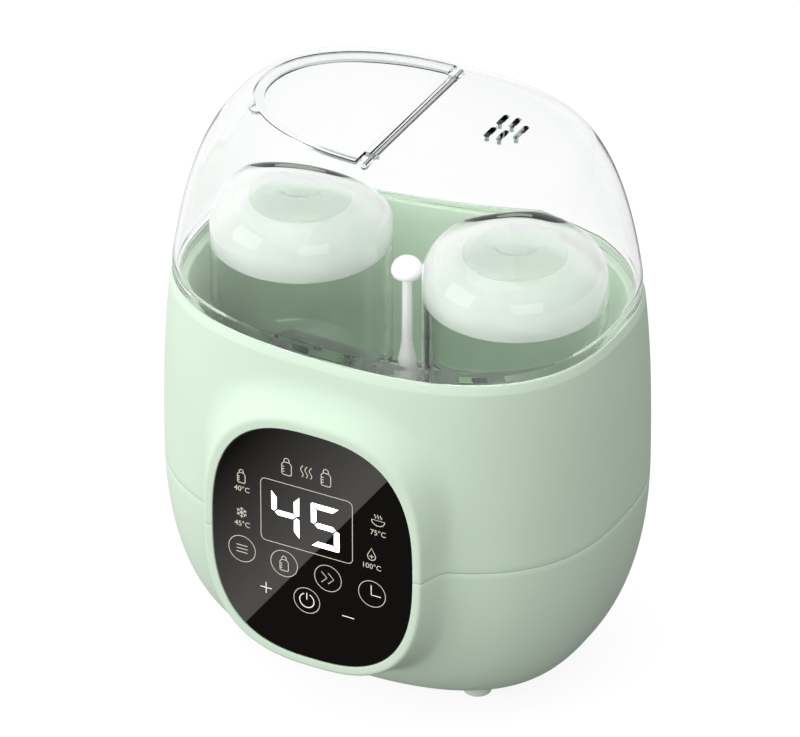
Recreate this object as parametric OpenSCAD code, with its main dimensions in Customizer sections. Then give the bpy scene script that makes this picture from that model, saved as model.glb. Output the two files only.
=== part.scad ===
// Double bottle warmer: an egg-shaped two-part housing with a heated chamber,
// a black touch panel, a clear lift-off lid with a hinged flap, and a rack that
// holds two bottles upside down. Millimetres, +Z up, front towards -Y.

/* [Body] */
// Width of the body at its belly
body_w = 217.2; // [200:1:230]
// Depth of the body at its belly, without the panel boss
body_d = 169.8; // [160:1:180]
// Height of the widest section
belly_z = 98.8; // [94:0.2:102]
// Superellipse power of the plan outline
plan_power = 2.55; // [2.2:0.05:3]
// Wall thickness of the housings
wall = 2.6; // [2.2:0.1:3]
// Height of the line where the two housings meet
parting_z = 90; // [84:1:94]
// Height of the body's rim
rim_z = 184; // [178:1:190]

/* [Lid] */
// Height of the flat top of the lid
lid_top_z = 268.3; // [262:0.1:269]
// Wall thickness of the clear lid
lid_wall = 2.2; // [1.8:0.1:2.6]
// Half length of the flap to its tip
flap_reach = 71.5; // [64:0.5:72]
// Half width of the flap at its hinge
flap_half_d = 47.3; // [44:0.1:48]
// X of the flap's hinge axis
hinge_x = 3; // [2.5:0.1:3.5]
// Radius of the hinge pin
pin_r = 1; // [0.8:0.1:1.1]
// Half length of the flap's hinge barrel
barrel_half = 38; // [30:1:38]

/* [Control panel] */
// Half width of the black panel
panel_half_w = 50; // [46:0.5:52]
// Half height of the black panel
panel_half_h = 58.7; // [54:0.1:59]
// Height of the panel's centre
panel_z = 92.8; // [92:0.2:94]
// Superellipse power of the panel outline
panel_power = 2.68; // [2.4:0.02:3]
// Width of the moulded bezel around the panel
bezel_w = 4.4; // [3.5:0.1:5]
// Thickness of the glass
glass_t = 2.4; // [2:0.1:2.6]

/* [Chamber] */
// Height of the chamber floor
floor_z = 92; // [90:0.5:94]
// Radius of the opening in the chamber floor
floor_hole_r = 40; // [36:1:42]
// Thickness of the chamber liner
liner_t = 2.5; // [2:0.1:3]
// Top of the liner's flange
flange_z = 180; // [176:0.5:181]

/* [Rack and bottles] */
// Distance of each bottle's axis from the middle
bottle_x = 53.5; // [53:0.1:54]
// Outer radius of a bottle
bottle_r = 41; // [38:0.5:41]
// Height of a bottle's base, which points up
bottle_top_z = 217; // [212:1:218]
// Radius of a bottle's neck
neck_r = 21; // [18:0.5:21]
// Top of the rack's plate
rack_z = 115; // [112:0.5:116]
// Half length of the rack's plate
rack_half_w = 81; // [79:0.5:83]
// Half width of the rack's plate
rack_half_d = 37.5; // [34:0.5:40]
// Top of the post's round head
post_top_z = 194.5; // [190:0.5:200]

/* [Base] */
// Height of the rubber feet below the body
foot_h = 3; // [2:0.5:4]
// Radius of a foot
foot_r = 6.5; // [5:0.5:7]

/* [Hidden] */

// Colours
green = [0.80, 0.88, 0.79];
clear = [0.94, 0.96, 0.96, 0.35];
glass_clear = [0.86, 0.91, 0.88, 0.4];
black = [0.06, 0.06, 0.06];
steel = [0.74, 0.75, 0.76];
dark_grey = [0.25, 0.28, 0.26];
rubber = [0.86, 0.88, 0.85];
board_green = [0.10, 0.36, 0.22];
white = [0.97, 0.97, 0.96];

// Body form: half sizes at the belly and the two arcs of its side
half_w = body_w / 2;
half_d = body_d / 2;
low_arc_h = belly_z - foot_h;
low_arc_in = 46.2;
low_arc_power = 2.22;
top_arc_h = 173;
top_arc_in = 49.2;
top_arc_power = 2.48;
ring_n = 64;

// The body sits this far back, so that panel boss and back are equally far out
panel_face_y = -90.4;
bezel_face_y = -90.9;
body_y = -(bezel_face_y + half_d) / 2;

// Clearances and small details
gap = 0.15;
seam = 0.15;
tongue_h = 3;
tongue_in = 1.2;
edge = 0.5;
rim_chamfer_h = 4;
rim_chamfer = 1.1;
lip_in = 5.3;

// Panel boss
boss_base_grow = 6;
boss_base_y = -72;
window_in = 3;
glass_back_y = panel_face_y + glass_t;

// Hinge
hinge_r = 2.3;
hinge_z = lid_top_z - hinge_r;
bore_r = pin_r + 0.05;
flap_t = 1.7;
flap_power = 2.1;
lid_top_t = 3.6;
trough_x = hinge_x + 3.4;
seat_side_x = hinge_x - 3;
flap_side_x = hinge_x - 4;
vent_x = 45.8;
vent_y = 8.3;
vent_pitch = 6;
vent_w = 3;

// Heater stack, from the plate's top downwards
plate_top = floor_z - 0.4;
seal_top = floor_z - liner_t;
seal_t = 1.5;
plate_flange_t = 1.5;
plate_flange_r = 46;
plate_low = seal_top - seal_t - plate_flange_t;
clamp_t = 2;
clamp_r = 55;
clamp_screw_r = 51;

// Fasteners
tower_x = 66;
tower_y = 26;
tower_top = 84;
head_seat = 70;
boss_low = tower_top + 0.3;

// Panel electronics
frame_back_y = -86.2;
board_front_y = -82.5;
board_t = 1.6;
display_x = -2.5;
display_z = 106;
display_half_w = 23;
display_half_h = 15;
key_r = 3.8;
round_keys_x = [-34.5, -13, 8.5, 30];
round_keys_z = 80;
lower_keys_x = [-23, -2.2, 18.5];
lower_keys_z = 64;
frame_posts = [[-36, 100], [36, 100], [-30, 54], [30, 54]];

// Power electronics
board_z = 20;
board_half_w = 43;
board_half_d = 32;
standoff = [38, 27];
inlet_z = 40;
inlet_half_w = 11;
inlet_half_h = 6.8;
inlet_face_y = 77.6;
inlet_back_y = 58;

// Height of the clear floor of the housing above the ground
inner_floor_z = foot_h + wall;

// ---------- Shape functions ----------

function signed_pow(v, p) = sign(v) * pow(abs(v), p);

// Closed superellipse outline with half sizes a and b
function oval(a, b, power, count = ring_n) = [
    for (i = [0 : count - 1])
        let (t = 360 * i / count)
            [a * signed_pow(cos(t), 2 / power), b * signed_pow(sin(t), 2 / power)]
];

// Left half of a superellipse from its back end to its front end
function half_oval(a, b, power, steps = 24) = [
    for (i = [0 : steps])
        let (t = 90 + 180 * i / steps)
            [a * signed_pow(cos(t), 2 / power), b * signed_pow(sin(t), 2 / power)]
];

// Quarter superellipse arc: 0 at u = 0, 1 at u = 1
function arc_in(u, power) = 1 - pow(1 - pow(u, power), 1 / power);

// How far the body's side lies inside the belly outline at height z
function body_in(z) = z < belly_z
    ? low_arc_in * arc_in((belly_z - z) / low_arc_h, low_arc_power)
    : top_arc_in * arc_in((z - belly_z) / top_arc_h, top_arc_power);

// One ring of the body form at height z, moved inwards by extra
function body_ring(z, extra = 0) = let (m = body_in(z) + extra)
    [for (p = oval(half_w - m, half_d - m, plan_power)) [p[0], p[1], z]];

// A ring of stated half width, as deep as the body form has it
function level_ring(half, z) =
    [for (p = oval(half, half - (half_w - half_d), plan_power)) [p[0], p[1], z]];

function round_ring(r, z) =
    [for (i = [0 : ring_n - 1]) [r * cos(360 * i / ring_n), r * sin(360 * i / ring_n), z]];

// Rings stacked into one solid. A looped stack closes on itself like a tube,
// any other stack gets a flat cap on its first and last ring.
module ring_stack(rings, looped = false) {
    n = len(rings[0]);
    m = len(rings);
    points = [for (r = rings) each r];
    sides = [
        for (j = [0 : looped ? m - 1 : m - 2])
            for (i = [0 : n - 1])
                [j * n + i, ((j + 1) % m) * n + i, ((j + 1) % m) * n + (i + 1) % n, j * n + (i + 1) % n]
    ];
    caps = looped ? [] : [
        [for (i = [0 : n - 1]) i],
        [for (i = [n - 1 : -1 : 0]) (m - 1) * n + i]
    ];
    polyhedron(points, concat(sides, caps), convexity = 8);
}

// Cubic curve from p0 to p3
function bezier(p0, p1, p2, p3, t) =
    pow(1 - t, 3) * p0 + 3 * t * pow(1 - t, 2) * p1 + 3 * t * t * (1 - t) * p2 + pow(t, 3) * p3;

// Round wire along a cubic curve
module wire(p0, p1, p2, p3, r = 1.1, steps = 12, sides = 8) {
    path = [for (i = [0 : steps]) bezier(p0, p1, p2, p3, i / steps)];
    rings = [
        for (i = [0 : steps])
            let (
                d = path[min(i + 1, steps)] - path[max(i - 1, 0)],
                w = d / norm(d),
                u0 = cross(w, [0.31, 0.95, 0.07]),
                u = u0 / norm(u0),
                v = cross(w, u)
            )
                [for (k = [0 : sides - 1]) path[i] + r * (cos(360 * k / sides) * v + sin(360 * k / sides) * u)]
    ];
    ring_stack(rings);
}

module at_body() {
    translate([0, body_y, 0]) children();
}

module box(low, high) {
    translate(low) cube(high - low);
}

// A flat superellipse plate that faces the front, between two depths
module panel_plate(half_w, half_h, y_front, y_back) {
    translate([0, y_back, panel_z])
        rotate([90, 0, 0])
            linear_extrude(y_back - y_front)
                polygon(oval(half_w, half_h, panel_power));
}

module four(x, y) {
    for (sx = [-1, 1])
        for (sy = [-1, 1])
            translate([sx * x, sy * y, 0]) children();
}

// Screw with a round head below z = 0 and its shank upwards
module screw(shank_r, shank_h, head_r, head_h) {
    cylinder(r = shank_r, h = shank_h, $fn = 24);
    translate([0, 0, -head_h]) cylinder(r = head_r, h = head_h, $fn = 24);
}

// ---------- Panel boss, shared by the two housings ----------

// Boss from the bezel's face back into the body, wider towards the body
module boss_outside() {
    w = panel_half_w + bezel_w;
    h = panel_half_h + bezel_w;
    hull() {
        panel_plate(w - 0.8, h - 0.8, bezel_face_y, bezel_face_y + 0.1);
        panel_plate(w, h, bezel_face_y + 0.8, bezel_face_y + 0.9);
        panel_plate(w + boss_base_grow, h + boss_base_grow, boss_base_y, boss_base_y + 2);
    }
}

// Solid form of the body, a little inside its outer surface
module body_core() {
    ring_stack([for (z = [foot_h + 1, 8, 18, 30, 46, 66, 90, 122, 156, 176]) body_ring(z, wall - 0.5)]);
}

// The boss between two heights, ending inside the wall of the body
module boss_part(z_low, z_high) {
    difference() {
        intersection() {
            boss_outside();
            box([-80, bezel_face_y - 1, z_low], [80, boss_base_y + 2, z_high]);
        }
        body_core();
    }
}

// Everything that is open inside the boss: the glass pocket and the space behind it
module boss_inside() {
    w = panel_half_w + gap;
    h = panel_half_h + gap;
    panel_plate(w, h, bezel_face_y - 1, glass_back_y);
    hull() {
        panel_plate(w - window_in, h - window_in, glass_back_y - 0.1, glass_back_y + 1.5);
        panel_plate(w + 4, h + 4, boss_base_y, boss_base_y + 10);
    }
}

// ---------- Housings ----------

module upper_shell() {
    side_z = [104, 122, 140, 156, 170];
    inner_top = rim_z - rim_chamfer_h;
    ring_stack([
        body_ring(parting_z + seam, edge),
        body_ring(parting_z + seam + edge),
        for (z = side_z) body_ring(z),
        body_ring(inner_top),
        body_ring(rim_z, rim_chamfer),
        body_ring(rim_z, wall),
        body_ring(flange_z - 2.1, wall),
        body_ring(flange_z - 2.1, lip_in),
        body_ring(flange_z - 4.1, lip_in),
        body_ring(flange_z - 7, wall),
        for (i = [len(side_z) - 1 : -1 : 1]) body_ring(side_z[i], wall),
        body_ring(parting_z + tongue_h + 1.2, wall),
        body_ring(parting_z + tongue_h + 0.4, tongue_in),
        body_ring(parting_z + seam, tongue_in)
    ], looped = true);
}

module upper_housing() {
    rib_count = 12;
    color(green) at_body() {
        difference() {
            union() {
                upper_shell();
                boss_part(parting_z + seam, rim_z);
                // Ribs that stiffen the lip under the liner's flange
                for (i = [0 : rib_count - 1])
                    lip_rib(360 * (i + 0.5) / rib_count);
            }
            boss_inside();
            // The boss stays clear of the tongue of the lower housing
            body_tongue_space();
        }
    }
}

// Slot along the parting line in which the lower housing's tongue stands
module body_tongue_space() {
    ring_stack([
        body_ring(parting_z - 1, tongue_in),
        body_ring(parting_z + tongue_h + 0.4, tongue_in),
        body_ring(parting_z + tongue_h + 0.4, wall + 0.3),
        body_ring(parting_z - 1, wall + 0.3)
    ], looped = true);
}

module lip_rib(t) {
    z_top = flange_z - 4.3;
    p = oval(half_w - body_in(z_top) - wall - 1, half_d - body_in(z_top) - wall - 1, plan_power, 360);
    q = p[round(t)];
    a = atan2(q[1], q[0]);
    translate([q[0], q[1], 0])
        hull() {
            translate([0, 0, z_top - 1]) rotate([0, 0, a]) cube([2.6, 1.6, 2], center = true);
            translate([0, 0, z_top - 9]) rotate([0, 0, a]) cube([1.2, 1.6, 1], center = true);
        }
}

module lower_shell() {
    side_z = [foot_h + 0.7, foot_h + 2.5, 10, 18, 30, 46, 66];
    ring_stack([
        body_ring(foot_h),
        for (z = side_z) body_ring(z),
        body_ring(parting_z - seam - edge),
        body_ring(parting_z - seam, edge),
        body_ring(parting_z - seam, tongue_in + gap),
        body_ring(parting_z + tongue_h, tongue_in + gap),
        body_ring(parting_z + tongue_h, wall),
        for (i = [len(side_z) - 1 : -1 : 2]) body_ring(side_z[i], wall),
        body_ring(inner_floor_z, wall)
    ]);
}

module lower_housing() {
    color(green) at_body()
        difference() {
            union() {
                difference() {
                    union() {
                        lower_shell();
                        boss_part(0, parting_z - seam);
                    }
                    boss_inside();
                }
                four(tower_x, tower_y)
                    translate([0, 0, foot_h + 2]) cylinder(r = 5, h = tower_top - foot_h - 2, $fn = 32);
                four(standoff[0], standoff[1])
                    translate([0, 0, foot_h + 1]) cylinder(r = 3.2, h = board_z - foot_h - 1, $fn = 24);
                four(tower_x, tower_y) tower_fins();
            }
            four(tower_x, tower_y) {
                cylinder(r = 3.6, h = head_seat, $fn = 32);
                cylinder(r = 1.8, h = tower_top + 1, $fn = 32);
            }
            four(standoff[0], standoff[1])
                translate([0, 0, board_z - 10]) cylinder(r = 1.2, h = 11, $fn = 24);
            foot_places() cylinder(r = foot_r + 0.1, h = foot_h + 1.3, $fn = 32);
            box([-inlet_half_w - gap, 50, inlet_z - inlet_half_h - gap],
                [inlet_half_w + gap, 90, inlet_z + inlet_half_h + gap]);
        }
}

// Two fins that brace a screw tower against the floor
module tower_fins() {
    for (a = [0, 90])
        rotate([0, 0, a])
            hull() {
                translate([0, 0, foot_h + 9]) cube([12, 1.6, 4], center = true);
                translate([0, 0, foot_h + 34]) cube([9, 1.6, 1], center = true);
            }
}

module foot_places() {
    for (x = [-53, 53])
        for (y = [-33, 33])
            translate([x, y, 0]) children();
}

module foot(x, y) {
    color(rubber) at_body() translate([x, y, 0])
        rotate_extrude($fn = 48)
            polygon([[0, 0], [foot_r - 1, 0], [foot_r, 1], [foot_r, foot_h + 1.2], [0, foot_h + 1.2]]);
}

module foot_front_left() {
    foot(-53, -33);
}

module foot_front_right() {
    foot(53, -33);
}

module foot_rear_left() {
    foot(-53, 33);
}

module foot_rear_right() {
    foot(53, 33);
}

// ---------- Chamber ----------

module chamber_liner() {
    color(green) at_body() {
        difference() {
            union() {
                ring_stack([
                    round_ring(floor_hole_r, floor_z - liner_t),
                    level_ring(91, floor_z - liner_t),
                    level_ring(95.6, floor_z + 4),
                    level_ring(97.9, floor_z + 20),
                    level_ring(99.4, flange_z - 12),
                    level_ring(99.8, flange_z - 2),
                    level_ring(102.1, flange_z - 2),
                    level_ring(102.1, flange_z),
                    level_ring(97.9, flange_z),
                    level_ring(97.4, flange_z - 0.6),
                    level_ring(97, flange_z - 12),
                    level_ring(95.6, floor_z + 20),
                    level_ring(93.5, floor_z + 5),
                    level_ring(90.5, floor_z + 1.4),
                    level_ring(86, floor_z),
                    round_ring(floor_hole_r, floor_z)
                ], looped = true);
                four(tower_x, tower_y)
                    translate([0, 0, boss_low]) cylinder(r = 4.5, h = seal_top - boss_low + 0.2, $fn = 32);
                for (a = [45 : 90 : 315])
                    rotate([0, 0, a]) translate([clamp_screw_r, 0, plate_low])
                        cylinder(r = 3.4, h = seal_top - plate_low + 0.2, $fn = 32);
            }
            four(tower_x, tower_y)
                translate([0, 0, boss_low - 1]) cylinder(r = 1.55, h = 5, $fn = 32);
            for (a = [45 : 90 : 315])
                rotate([0, 0, a]) translate([clamp_screw_r, 0, plate_low - 1])
                    cylinder(r = 1.3, h = 4.5, $fn = 32);
        }
    }
}

module heating_plate() {
    color(dark_grey) at_body() {
        difference() {
            union() {
                translate([0, 0, plate_low]) cylinder(r = plate_flange_r, h = plate_flange_t, $fn = 96);
                translate([0, 0, plate_low]) cylinder(r = floor_hole_r - 0.5, h = plate_top - plate_low, $fn = 96);
            }
            // Shallow pan in which the water collects
            translate([0, 0, plate_top - 1]) cylinder(r = floor_hole_r - 4, h = 2, $fn = 96);
            // Underside is thinned where the element is clamped
            translate([0, 0, plate_low - 1]) cylinder(r = floor_hole_r - 8, h = 2.4, $fn = 96);
        }
    }
}

module plate_seal() {
    color([0.8, 0.82, 0.8]) at_body()
        translate([0, 0, seal_top - seal_t])
            difference() {
                cylinder(r = plate_flange_r, h = seal_t, $fn = 96);
                translate([0, 0, -1]) cylinder(r = floor_hole_r + 0.4, h = seal_t + 2, $fn = 96);
            }
}

module plate_clamp() {
    color(steel) at_body()
        translate([0, 0, plate_low - clamp_t])
            difference() {
                cylinder(r = clamp_r, h = clamp_t, $fn = 96);
                translate([0, 0, -1]) cylinder(r = floor_hole_r - 3, h = clamp_t + 2, $fn = 96);
                for (a = [45 : 90 : 315])
                    rotate([0, 0, a]) translate([clamp_screw_r, 0, -1])
                        cylinder(r = 1.6, h = clamp_t + 2, $fn = 24);
            }
}

module heating_element() {
    ring_r = 25;
    tube_r = 3.3;
    z = plate_low + 1.4 - tube_r;
    color(steel) at_body() {
        translate([0, 0, z])
            rotate([0, 0, 20])
                rotate_extrude(angle = 320, $fn = 72) translate([ring_r, 0]) circle(r = tube_r, $fn = 24);
        for (a = [20, 340])
            rotate([0, 0, a]) translate([ring_r, 0, z - 7])
                cylinder(r = 1.6, h = 7, $fn = 24);
    }
}

module temperature_sensor() {
    color(steel) at_body()
        translate([0, 0, plate_low - 7.6]) {
            translate([0, 0, 1]) cylinder(r = 4, h = 8, $fn = 48);
            cylinder(r = 2.5, h = 1, $fn = 48);
        }
}

module thermal_fuse() {
    color([0.75, 0.70, 0.55]) at_body()
        translate([-12, 6, plate_low - 1]) rotate([90, 0, 0]) {
            cylinder(r = 2.3, h = 12, $fn = 32);
            translate([0, 0, -5]) cylinder(r = 0.5, h = 22, $fn = 16);
        }
}

// ---------- Control panel ----------

module control_panel() {
    color(black) at_body()
        panel_plate(panel_half_w, panel_half_h, panel_face_y, glass_back_y);
}

module key_places() {
    for (x = round_keys_x)
        translate([x, 0, round_keys_z]) children();
    for (x = lower_keys_x)
        translate([x, 0, lower_keys_z]) children();
}

// A cylinder along Y from y_front to y_back
module y_rod(r, y_front, y_back) {
    translate([0, y_back, 0]) rotate([90, 0, 0]) cylinder(r = r, h = y_back - y_front, $fn = 32);
}

module panel_frame() {
    color(black) at_body()
        difference() {
            union() {
                panel_plate(panel_half_w - window_in - 0.5, panel_half_h - window_in - 0.5,
                            glass_back_y, frame_back_y);
                for (p = frame_posts)
                    translate([p[0], 0, p[1]]) y_rod(2.6, frame_back_y - 0.2, board_front_y);
            }
            box([display_x - display_half_w - 0.3, glass_back_y - 1, display_z - display_half_h - 0.3],
                [display_x + display_half_w + 0.3, frame_back_y + 1, display_z + display_half_h + 0.3]);
            key_places() y_rod(key_r + 0.5, glass_back_y - 1, frame_back_y + 1);
            for (p = frame_posts)
                translate([p[0], 0, p[1]]) y_rod(1.05, frame_back_y, board_front_y + 1);
        }
}

module display_module() {
    color([0.15, 0.15, 0.15]) at_body()
        box([display_x - display_half_w, glass_back_y + 0.05, display_z - display_half_h],
            [display_x + display_half_w, board_front_y, display_z + display_half_h]);
}

module touch_pads() {
    color([0.35, 0.35, 0.36]) at_body()
        key_places() y_rod(key_r, glass_back_y, board_front_y);
}

module control_board() {
    color(board_green) at_body()
        difference() {
            box([-40, board_front_y, 50], [40, board_front_y + board_t, 126]);
            for (p = frame_posts)
                translate([p[0], 0, p[1]]) y_rod(1.3, board_front_y - 1, board_front_y + board_t + 1);
        }
}

module buzzer() {
    back = board_front_y + board_t;
    color(black) at_body()
        translate([26, 0, 66])
            difference() {
                y_rod(6, back, back + 4.5);
                y_rod(1, back + 2, back + 6);
            }
}

module panel_screws() {
    back = board_front_y + board_t;
    color(steel) at_body()
        for (p = frame_posts)
            translate([p[0], 0, p[1]]) {
                y_rod(1, frame_back_y + 0.3, back);
                y_rod(2, back, back + 1.3);
            }
}

// Flat cable from the control board down to the power board
module panel_ribbon() {
    t = 0.9;
    top_y = board_front_y + board_t;
    color([0.75, 0.75, 0.78]) at_body()
        translate([-7, 0, 0])
            rotate([90, 0, 90])
                linear_extrude(14)
                    polygon([
                        [top_y, 62], [top_y, 52], [-58, 32], [-36, 32], [-30, board_z + board_t],
                        [-30 + t, board_z + board_t], [-36 + t, 32 + t], [-58 + t, 32 + t],
                        [top_y + t, 52 + t], [top_y + t, 62]
                    ]);
}

// ---------- Power electronics ----------

module power_board() {
    color(board_green) at_body()
        difference() {
            box([-board_half_w, -board_half_d, board_z], [board_half_w, board_half_d, board_z + board_t]);
            four(standoff[0], standoff[1])
                translate([0, 0, board_z - 1]) cylinder(r = 1.6, h = board_t + 2, $fn = 24);
        }
}

module transformer() {
    z = board_z + board_t;
    color([0.85, 0.75, 0.25]) at_body()
        translate([-20, 6, z]) {
            box([-13, -8, 0], [13, 8, 4]);
            translate([0, 0, 4]) cylinder(r = 8.5, h = 12, $fn = 48);
            box([-13, -8, 16], [13, 8, 20]);
            box([-13, -8, 4], [-9.5, 8, 16]);
            box([9.5, -8, 4], [13, 8, 16]);
        }
}

module relay() {
    z = board_z + board_t;
    color([0.15, 0.35, 0.65]) at_body()
        box([12, -24, z], [28, -4, z + 15.5]);
}

module capacitor() {
    z = board_z + board_t;
    color([0.12, 0.14, 0.25]) at_body()
        translate([20, 14, z])
            rotate_extrude($fn = 48)
                polygon([[0, 0], [6, 0], [6, 2.5], [5.6, 3], [6, 3.5], [6, 19.4], [5.4, 20], [0, 20]]);
}

// Figure-of-eight outline of a two-pole inlet
module eight_outline(r, half_gap) {
    for (sx = [-1, 1])
        translate([sx * half_gap, 0]) circle(r = r, $fn = 32);
    square([2 * half_gap, 1.5 * r], center = true);
}

module power_inlet() {
    depth = 13;
    color(black) at_body()
        difference() {
            union() {
                box([-inlet_half_w, inlet_back_y, inlet_z - inlet_half_h],
                    [inlet_half_w, inlet_face_y, inlet_z + inlet_half_h]);
                // Inner stop behind the housing wall
                box([-inlet_half_w - 2.5, inlet_face_y - 8.6, inlet_z - inlet_half_h],
                    [inlet_half_w + 2.5, inlet_face_y - 6.6, inlet_z + inlet_half_h]);
            }
            translate([0, inlet_face_y + 1, inlet_z]) rotate([90, 0, 0])
                linear_extrude(depth + 1) eight_outline(3.9, 3.6);
            for (sx = [-1, 1])
                translate([sx * 4.3, 0, inlet_z]) y_rod(1.2, inlet_back_y - 1, inlet_face_y);
        }
}

module inlet_pins() {
    color(steel) at_body()
        for (sx = [-1, 1])
            translate([sx * 4.3, 0, inlet_z]) y_rod(1.15, inlet_back_y - 4, inlet_face_y - 4);
}

module inlet_leads() {
    z = board_z + board_t;
    color([0.5, 0.3, 0.2]) at_body()
        for (sx = [-1, 1])
            wire([sx * 4.3, inlet_back_y - 4, inlet_z], [sx * 5, 40, inlet_z],
                 [sx * 5, 27, 36], [sx * 5, 27, z]);
}

module heater_leads() {
    z = board_z + board_t;
    end_r = 25;
    top = plate_low + 1.4 - 3.3 - 7;
    color([0.85, 0.85, 0.8]) at_body()
        for (sy = [-1, 1])
            wire([end_r * cos(20), sy * end_r * sin(20), top], [end_r * cos(20), sy * end_r * sin(20), 60],
                 [36, sy * 6, 50], [36, sy * 6, z]);
}

module sensor_leads() {
    z = board_z + board_t;
    color([0.8, 0.2, 0.2]) at_body()
        for (sx = [-1, 1])
            wire([sx * 1.3, 0, plate_low - 7.6], [sx * 1.3, 0, 60],
                 [sx * 1.5, -14, 50], [sx * 1.5, -14, z], r = 0.8);
}

// ---------- Screws ----------

module housing_screws() {
    color(steel) at_body()
        four(tower_x, tower_y)
            translate([0, 0, head_seat]) screw(1.5, 17.5, 2.9, 2.2);
}

module clamp_screws() {
    color(steel) at_body()
        for (a = [45 : 90 : 315])
            rotate([0, 0, a]) translate([clamp_screw_r, 0, plate_low - clamp_t])
                screw(1.25, 5, 2.6, 1.6);
}

module board_screws() {
    color(steel) at_body()
        four(standoff[0], standoff[1])
            translate([0, 0, board_z + board_t]) mirror([0, 0, 1]) screw(1.15, 8, 2.4, 1.5);
}

// ---------- Lid ----------

module lid_shell() {
    side_z = [192, 205, 220, 234, 246, 256, 263];
    foot_z = rim_z + 0.2;
    foot_in = rim_chamfer;
    skirt_in = wall + 0.3;
    ring_stack([
        body_ring(lid_top_z - lid_top_t, lid_wall + 3.2),
        for (i = [len(side_z) - 2 : -1 : 1]) body_ring(side_z[i], lid_wall),
        body_ring(side_z[0] - 2, lid_wall),
        body_ring(side_z[0] - 4, lid_wall + 1.4),
        body_ring(foot_z - 3.6, skirt_in + 2),
        body_ring(foot_z - 3.6, skirt_in),
        body_ring(foot_z, skirt_in),
        body_ring(foot_z, foot_in),
        body_ring(foot_z + 1, foot_in - 0.5),
        for (z = side_z) body_ring(z),
        body_ring(lid_top_z)
    ]);
}

// D-shaped outline: the left half of a superellipse with a straight hinge side
function d_outline(a, b, side_x) =
    let (arc = half_oval(a, b, flap_power))
        [for (i = [0 : len(arc) - 1]) [i == 0 || i == len(arc) - 1 ? side_x : arc[i][0], arc[i][1]]];

// Where the finger tab stands on the flap's edge
tab_t = 213;
tab_x = flap_reach * signed_pow(cos(tab_t), 2 / flap_power);
tab_y = flap_half_d * signed_pow(sin(tab_t), 2 / flap_power);

module lid_dome() {
    color(clear) at_body()
        difference() {
            union() {
                lid_shell();
                for (sy = [-1, 1])
                    translate([hinge_x, sy > 0 ? barrel_half + 8.4 : -barrel_half - 0.4, hinge_z])
                        rotate([90, 0, 0]) cylinder(r = hinge_r - 0.05, h = 8, $fn = 48);
            }
            // Seat of the flap
            translate([0, 0, lid_top_z - flap_t - 0.1])
                linear_extrude(5) polygon(d_outline(flap_reach + 0.5, flap_half_d + 0.5, seat_side_x));
            // Opening below the flap
            translate([0, 0, lid_top_z - 12])
                linear_extrude(14) polygon(d_outline(flap_reach - 4.5, flap_half_d - 4.5, seat_side_x));
            // Room for the hinge barrel
            box([-0.5, -barrel_half - 0.4, lid_top_z - 12], [trough_x, barrel_half + 0.4, lid_top_z + 2]);
            // Finger scoop
            translate([tab_x, tab_y, lid_top_z - flap_t - 0.1]) cylinder(r = 5.2, h = 5, $fn = 32);
            vent_slots();
            translate([hinge_x, barrel_half + 8.1, hinge_z])
                rotate([90, 0, 0]) cylinder(r = bore_r, h = 2 * barrel_half + 30, $fn = 48);
        }
}

module vent_slot(x, y, length) {
    translate([x, y, lid_top_z - 8]) {
        for (sy = [-1, 1])
            translate([0, sy * (length - vent_w) / 2, 0]) cylinder(r = vent_w / 2, h = 10, $fn = 24);
        translate([-vent_w / 2, -(length - vent_w) / 2, 0]) cube([vent_w, length - vent_w, 10]);
    }
}

module vent_slots() {
    for (i = [-1, 0])
        for (sy = [-1, 1])
            vent_slot(vent_x + i * vent_pitch, vent_y + sy * 6.1, 9.5);
    vent_slot(vent_x + vent_pitch, vent_y, 12.5);
}

module lid_flap() {
    color(clear) at_body()
        difference() {
            union() {
                translate([0, 0, lid_top_z - flap_t])
                    linear_extrude(flap_t) polygon(d_outline(flap_reach, flap_half_d, flap_side_x));
                translate([tab_x, tab_y, lid_top_z - flap_t]) cylinder(r = 4.6, h = flap_t, $fn = 32);
                box([flap_side_x - 1, -barrel_half, lid_top_z - flap_t], [hinge_x, barrel_half, lid_top_z]);
                translate([hinge_x, barrel_half, hinge_z])
                    rotate([90, 0, 0]) cylinder(r = hinge_r, h = 2 * barrel_half, $fn = 48);
            }
            translate([hinge_x, barrel_half + 1, hinge_z])
                rotate([90, 0, 0]) cylinder(r = bore_r, h = 2 * barrel_half + 2, $fn = 48);
        }
}

module hinge_pin() {
    color(steel) at_body()
        translate([hinge_x, barrel_half + 7.8, hinge_z])
            rotate([90, 0, 0]) cylinder(r = pin_r, h = 2 * barrel_half + 16, $fn = 48);
}

// ---------- Rack and bottles ----------

module rack_opening() {
    offset(r = 1.6, $fn = 24) polygon([[-26, 31], [-8.5, 31], [-14, 19], [-16, 19]]);
}

module bottle_rack() {
    plate_t = 3;
    corner = 4;
    color([0.62, 0.66, 0.62, 0.7]) at_body() {
        translate([0, 0, rack_z - plate_t])
            difference() {
                linear_extrude(plate_t)
                    difference() {
                        offset(r = corner, $fn = 32)
                            square([2 * (rack_half_w - corner), 2 * (rack_half_d - corner)], center = true);
                        for (mx = [0, 1])
                            for (my = [0, 1])
                                mirror([mx, 0, 0]) mirror([0, my, 0]) rack_opening();
                    }
                for (sx = [-1, 1])
                    translate([sx * bottle_x, 0, -1]) cylinder(r = neck_r + 1.2, h = plate_t + 2, $fn = 64);
                translate([0, 0, -1]) cylinder(r = 3.05, h = plate_t + 2, $fn = 32);
            }
        four(rack_half_w - 5.5, rack_half_d - 5.5)
            translate([0, 0, floor_z + 0.3]) cylinder(r = 3.2, h = rack_z - plate_t - floor_z - 0.3, $fn = 32);
    }
}

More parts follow.
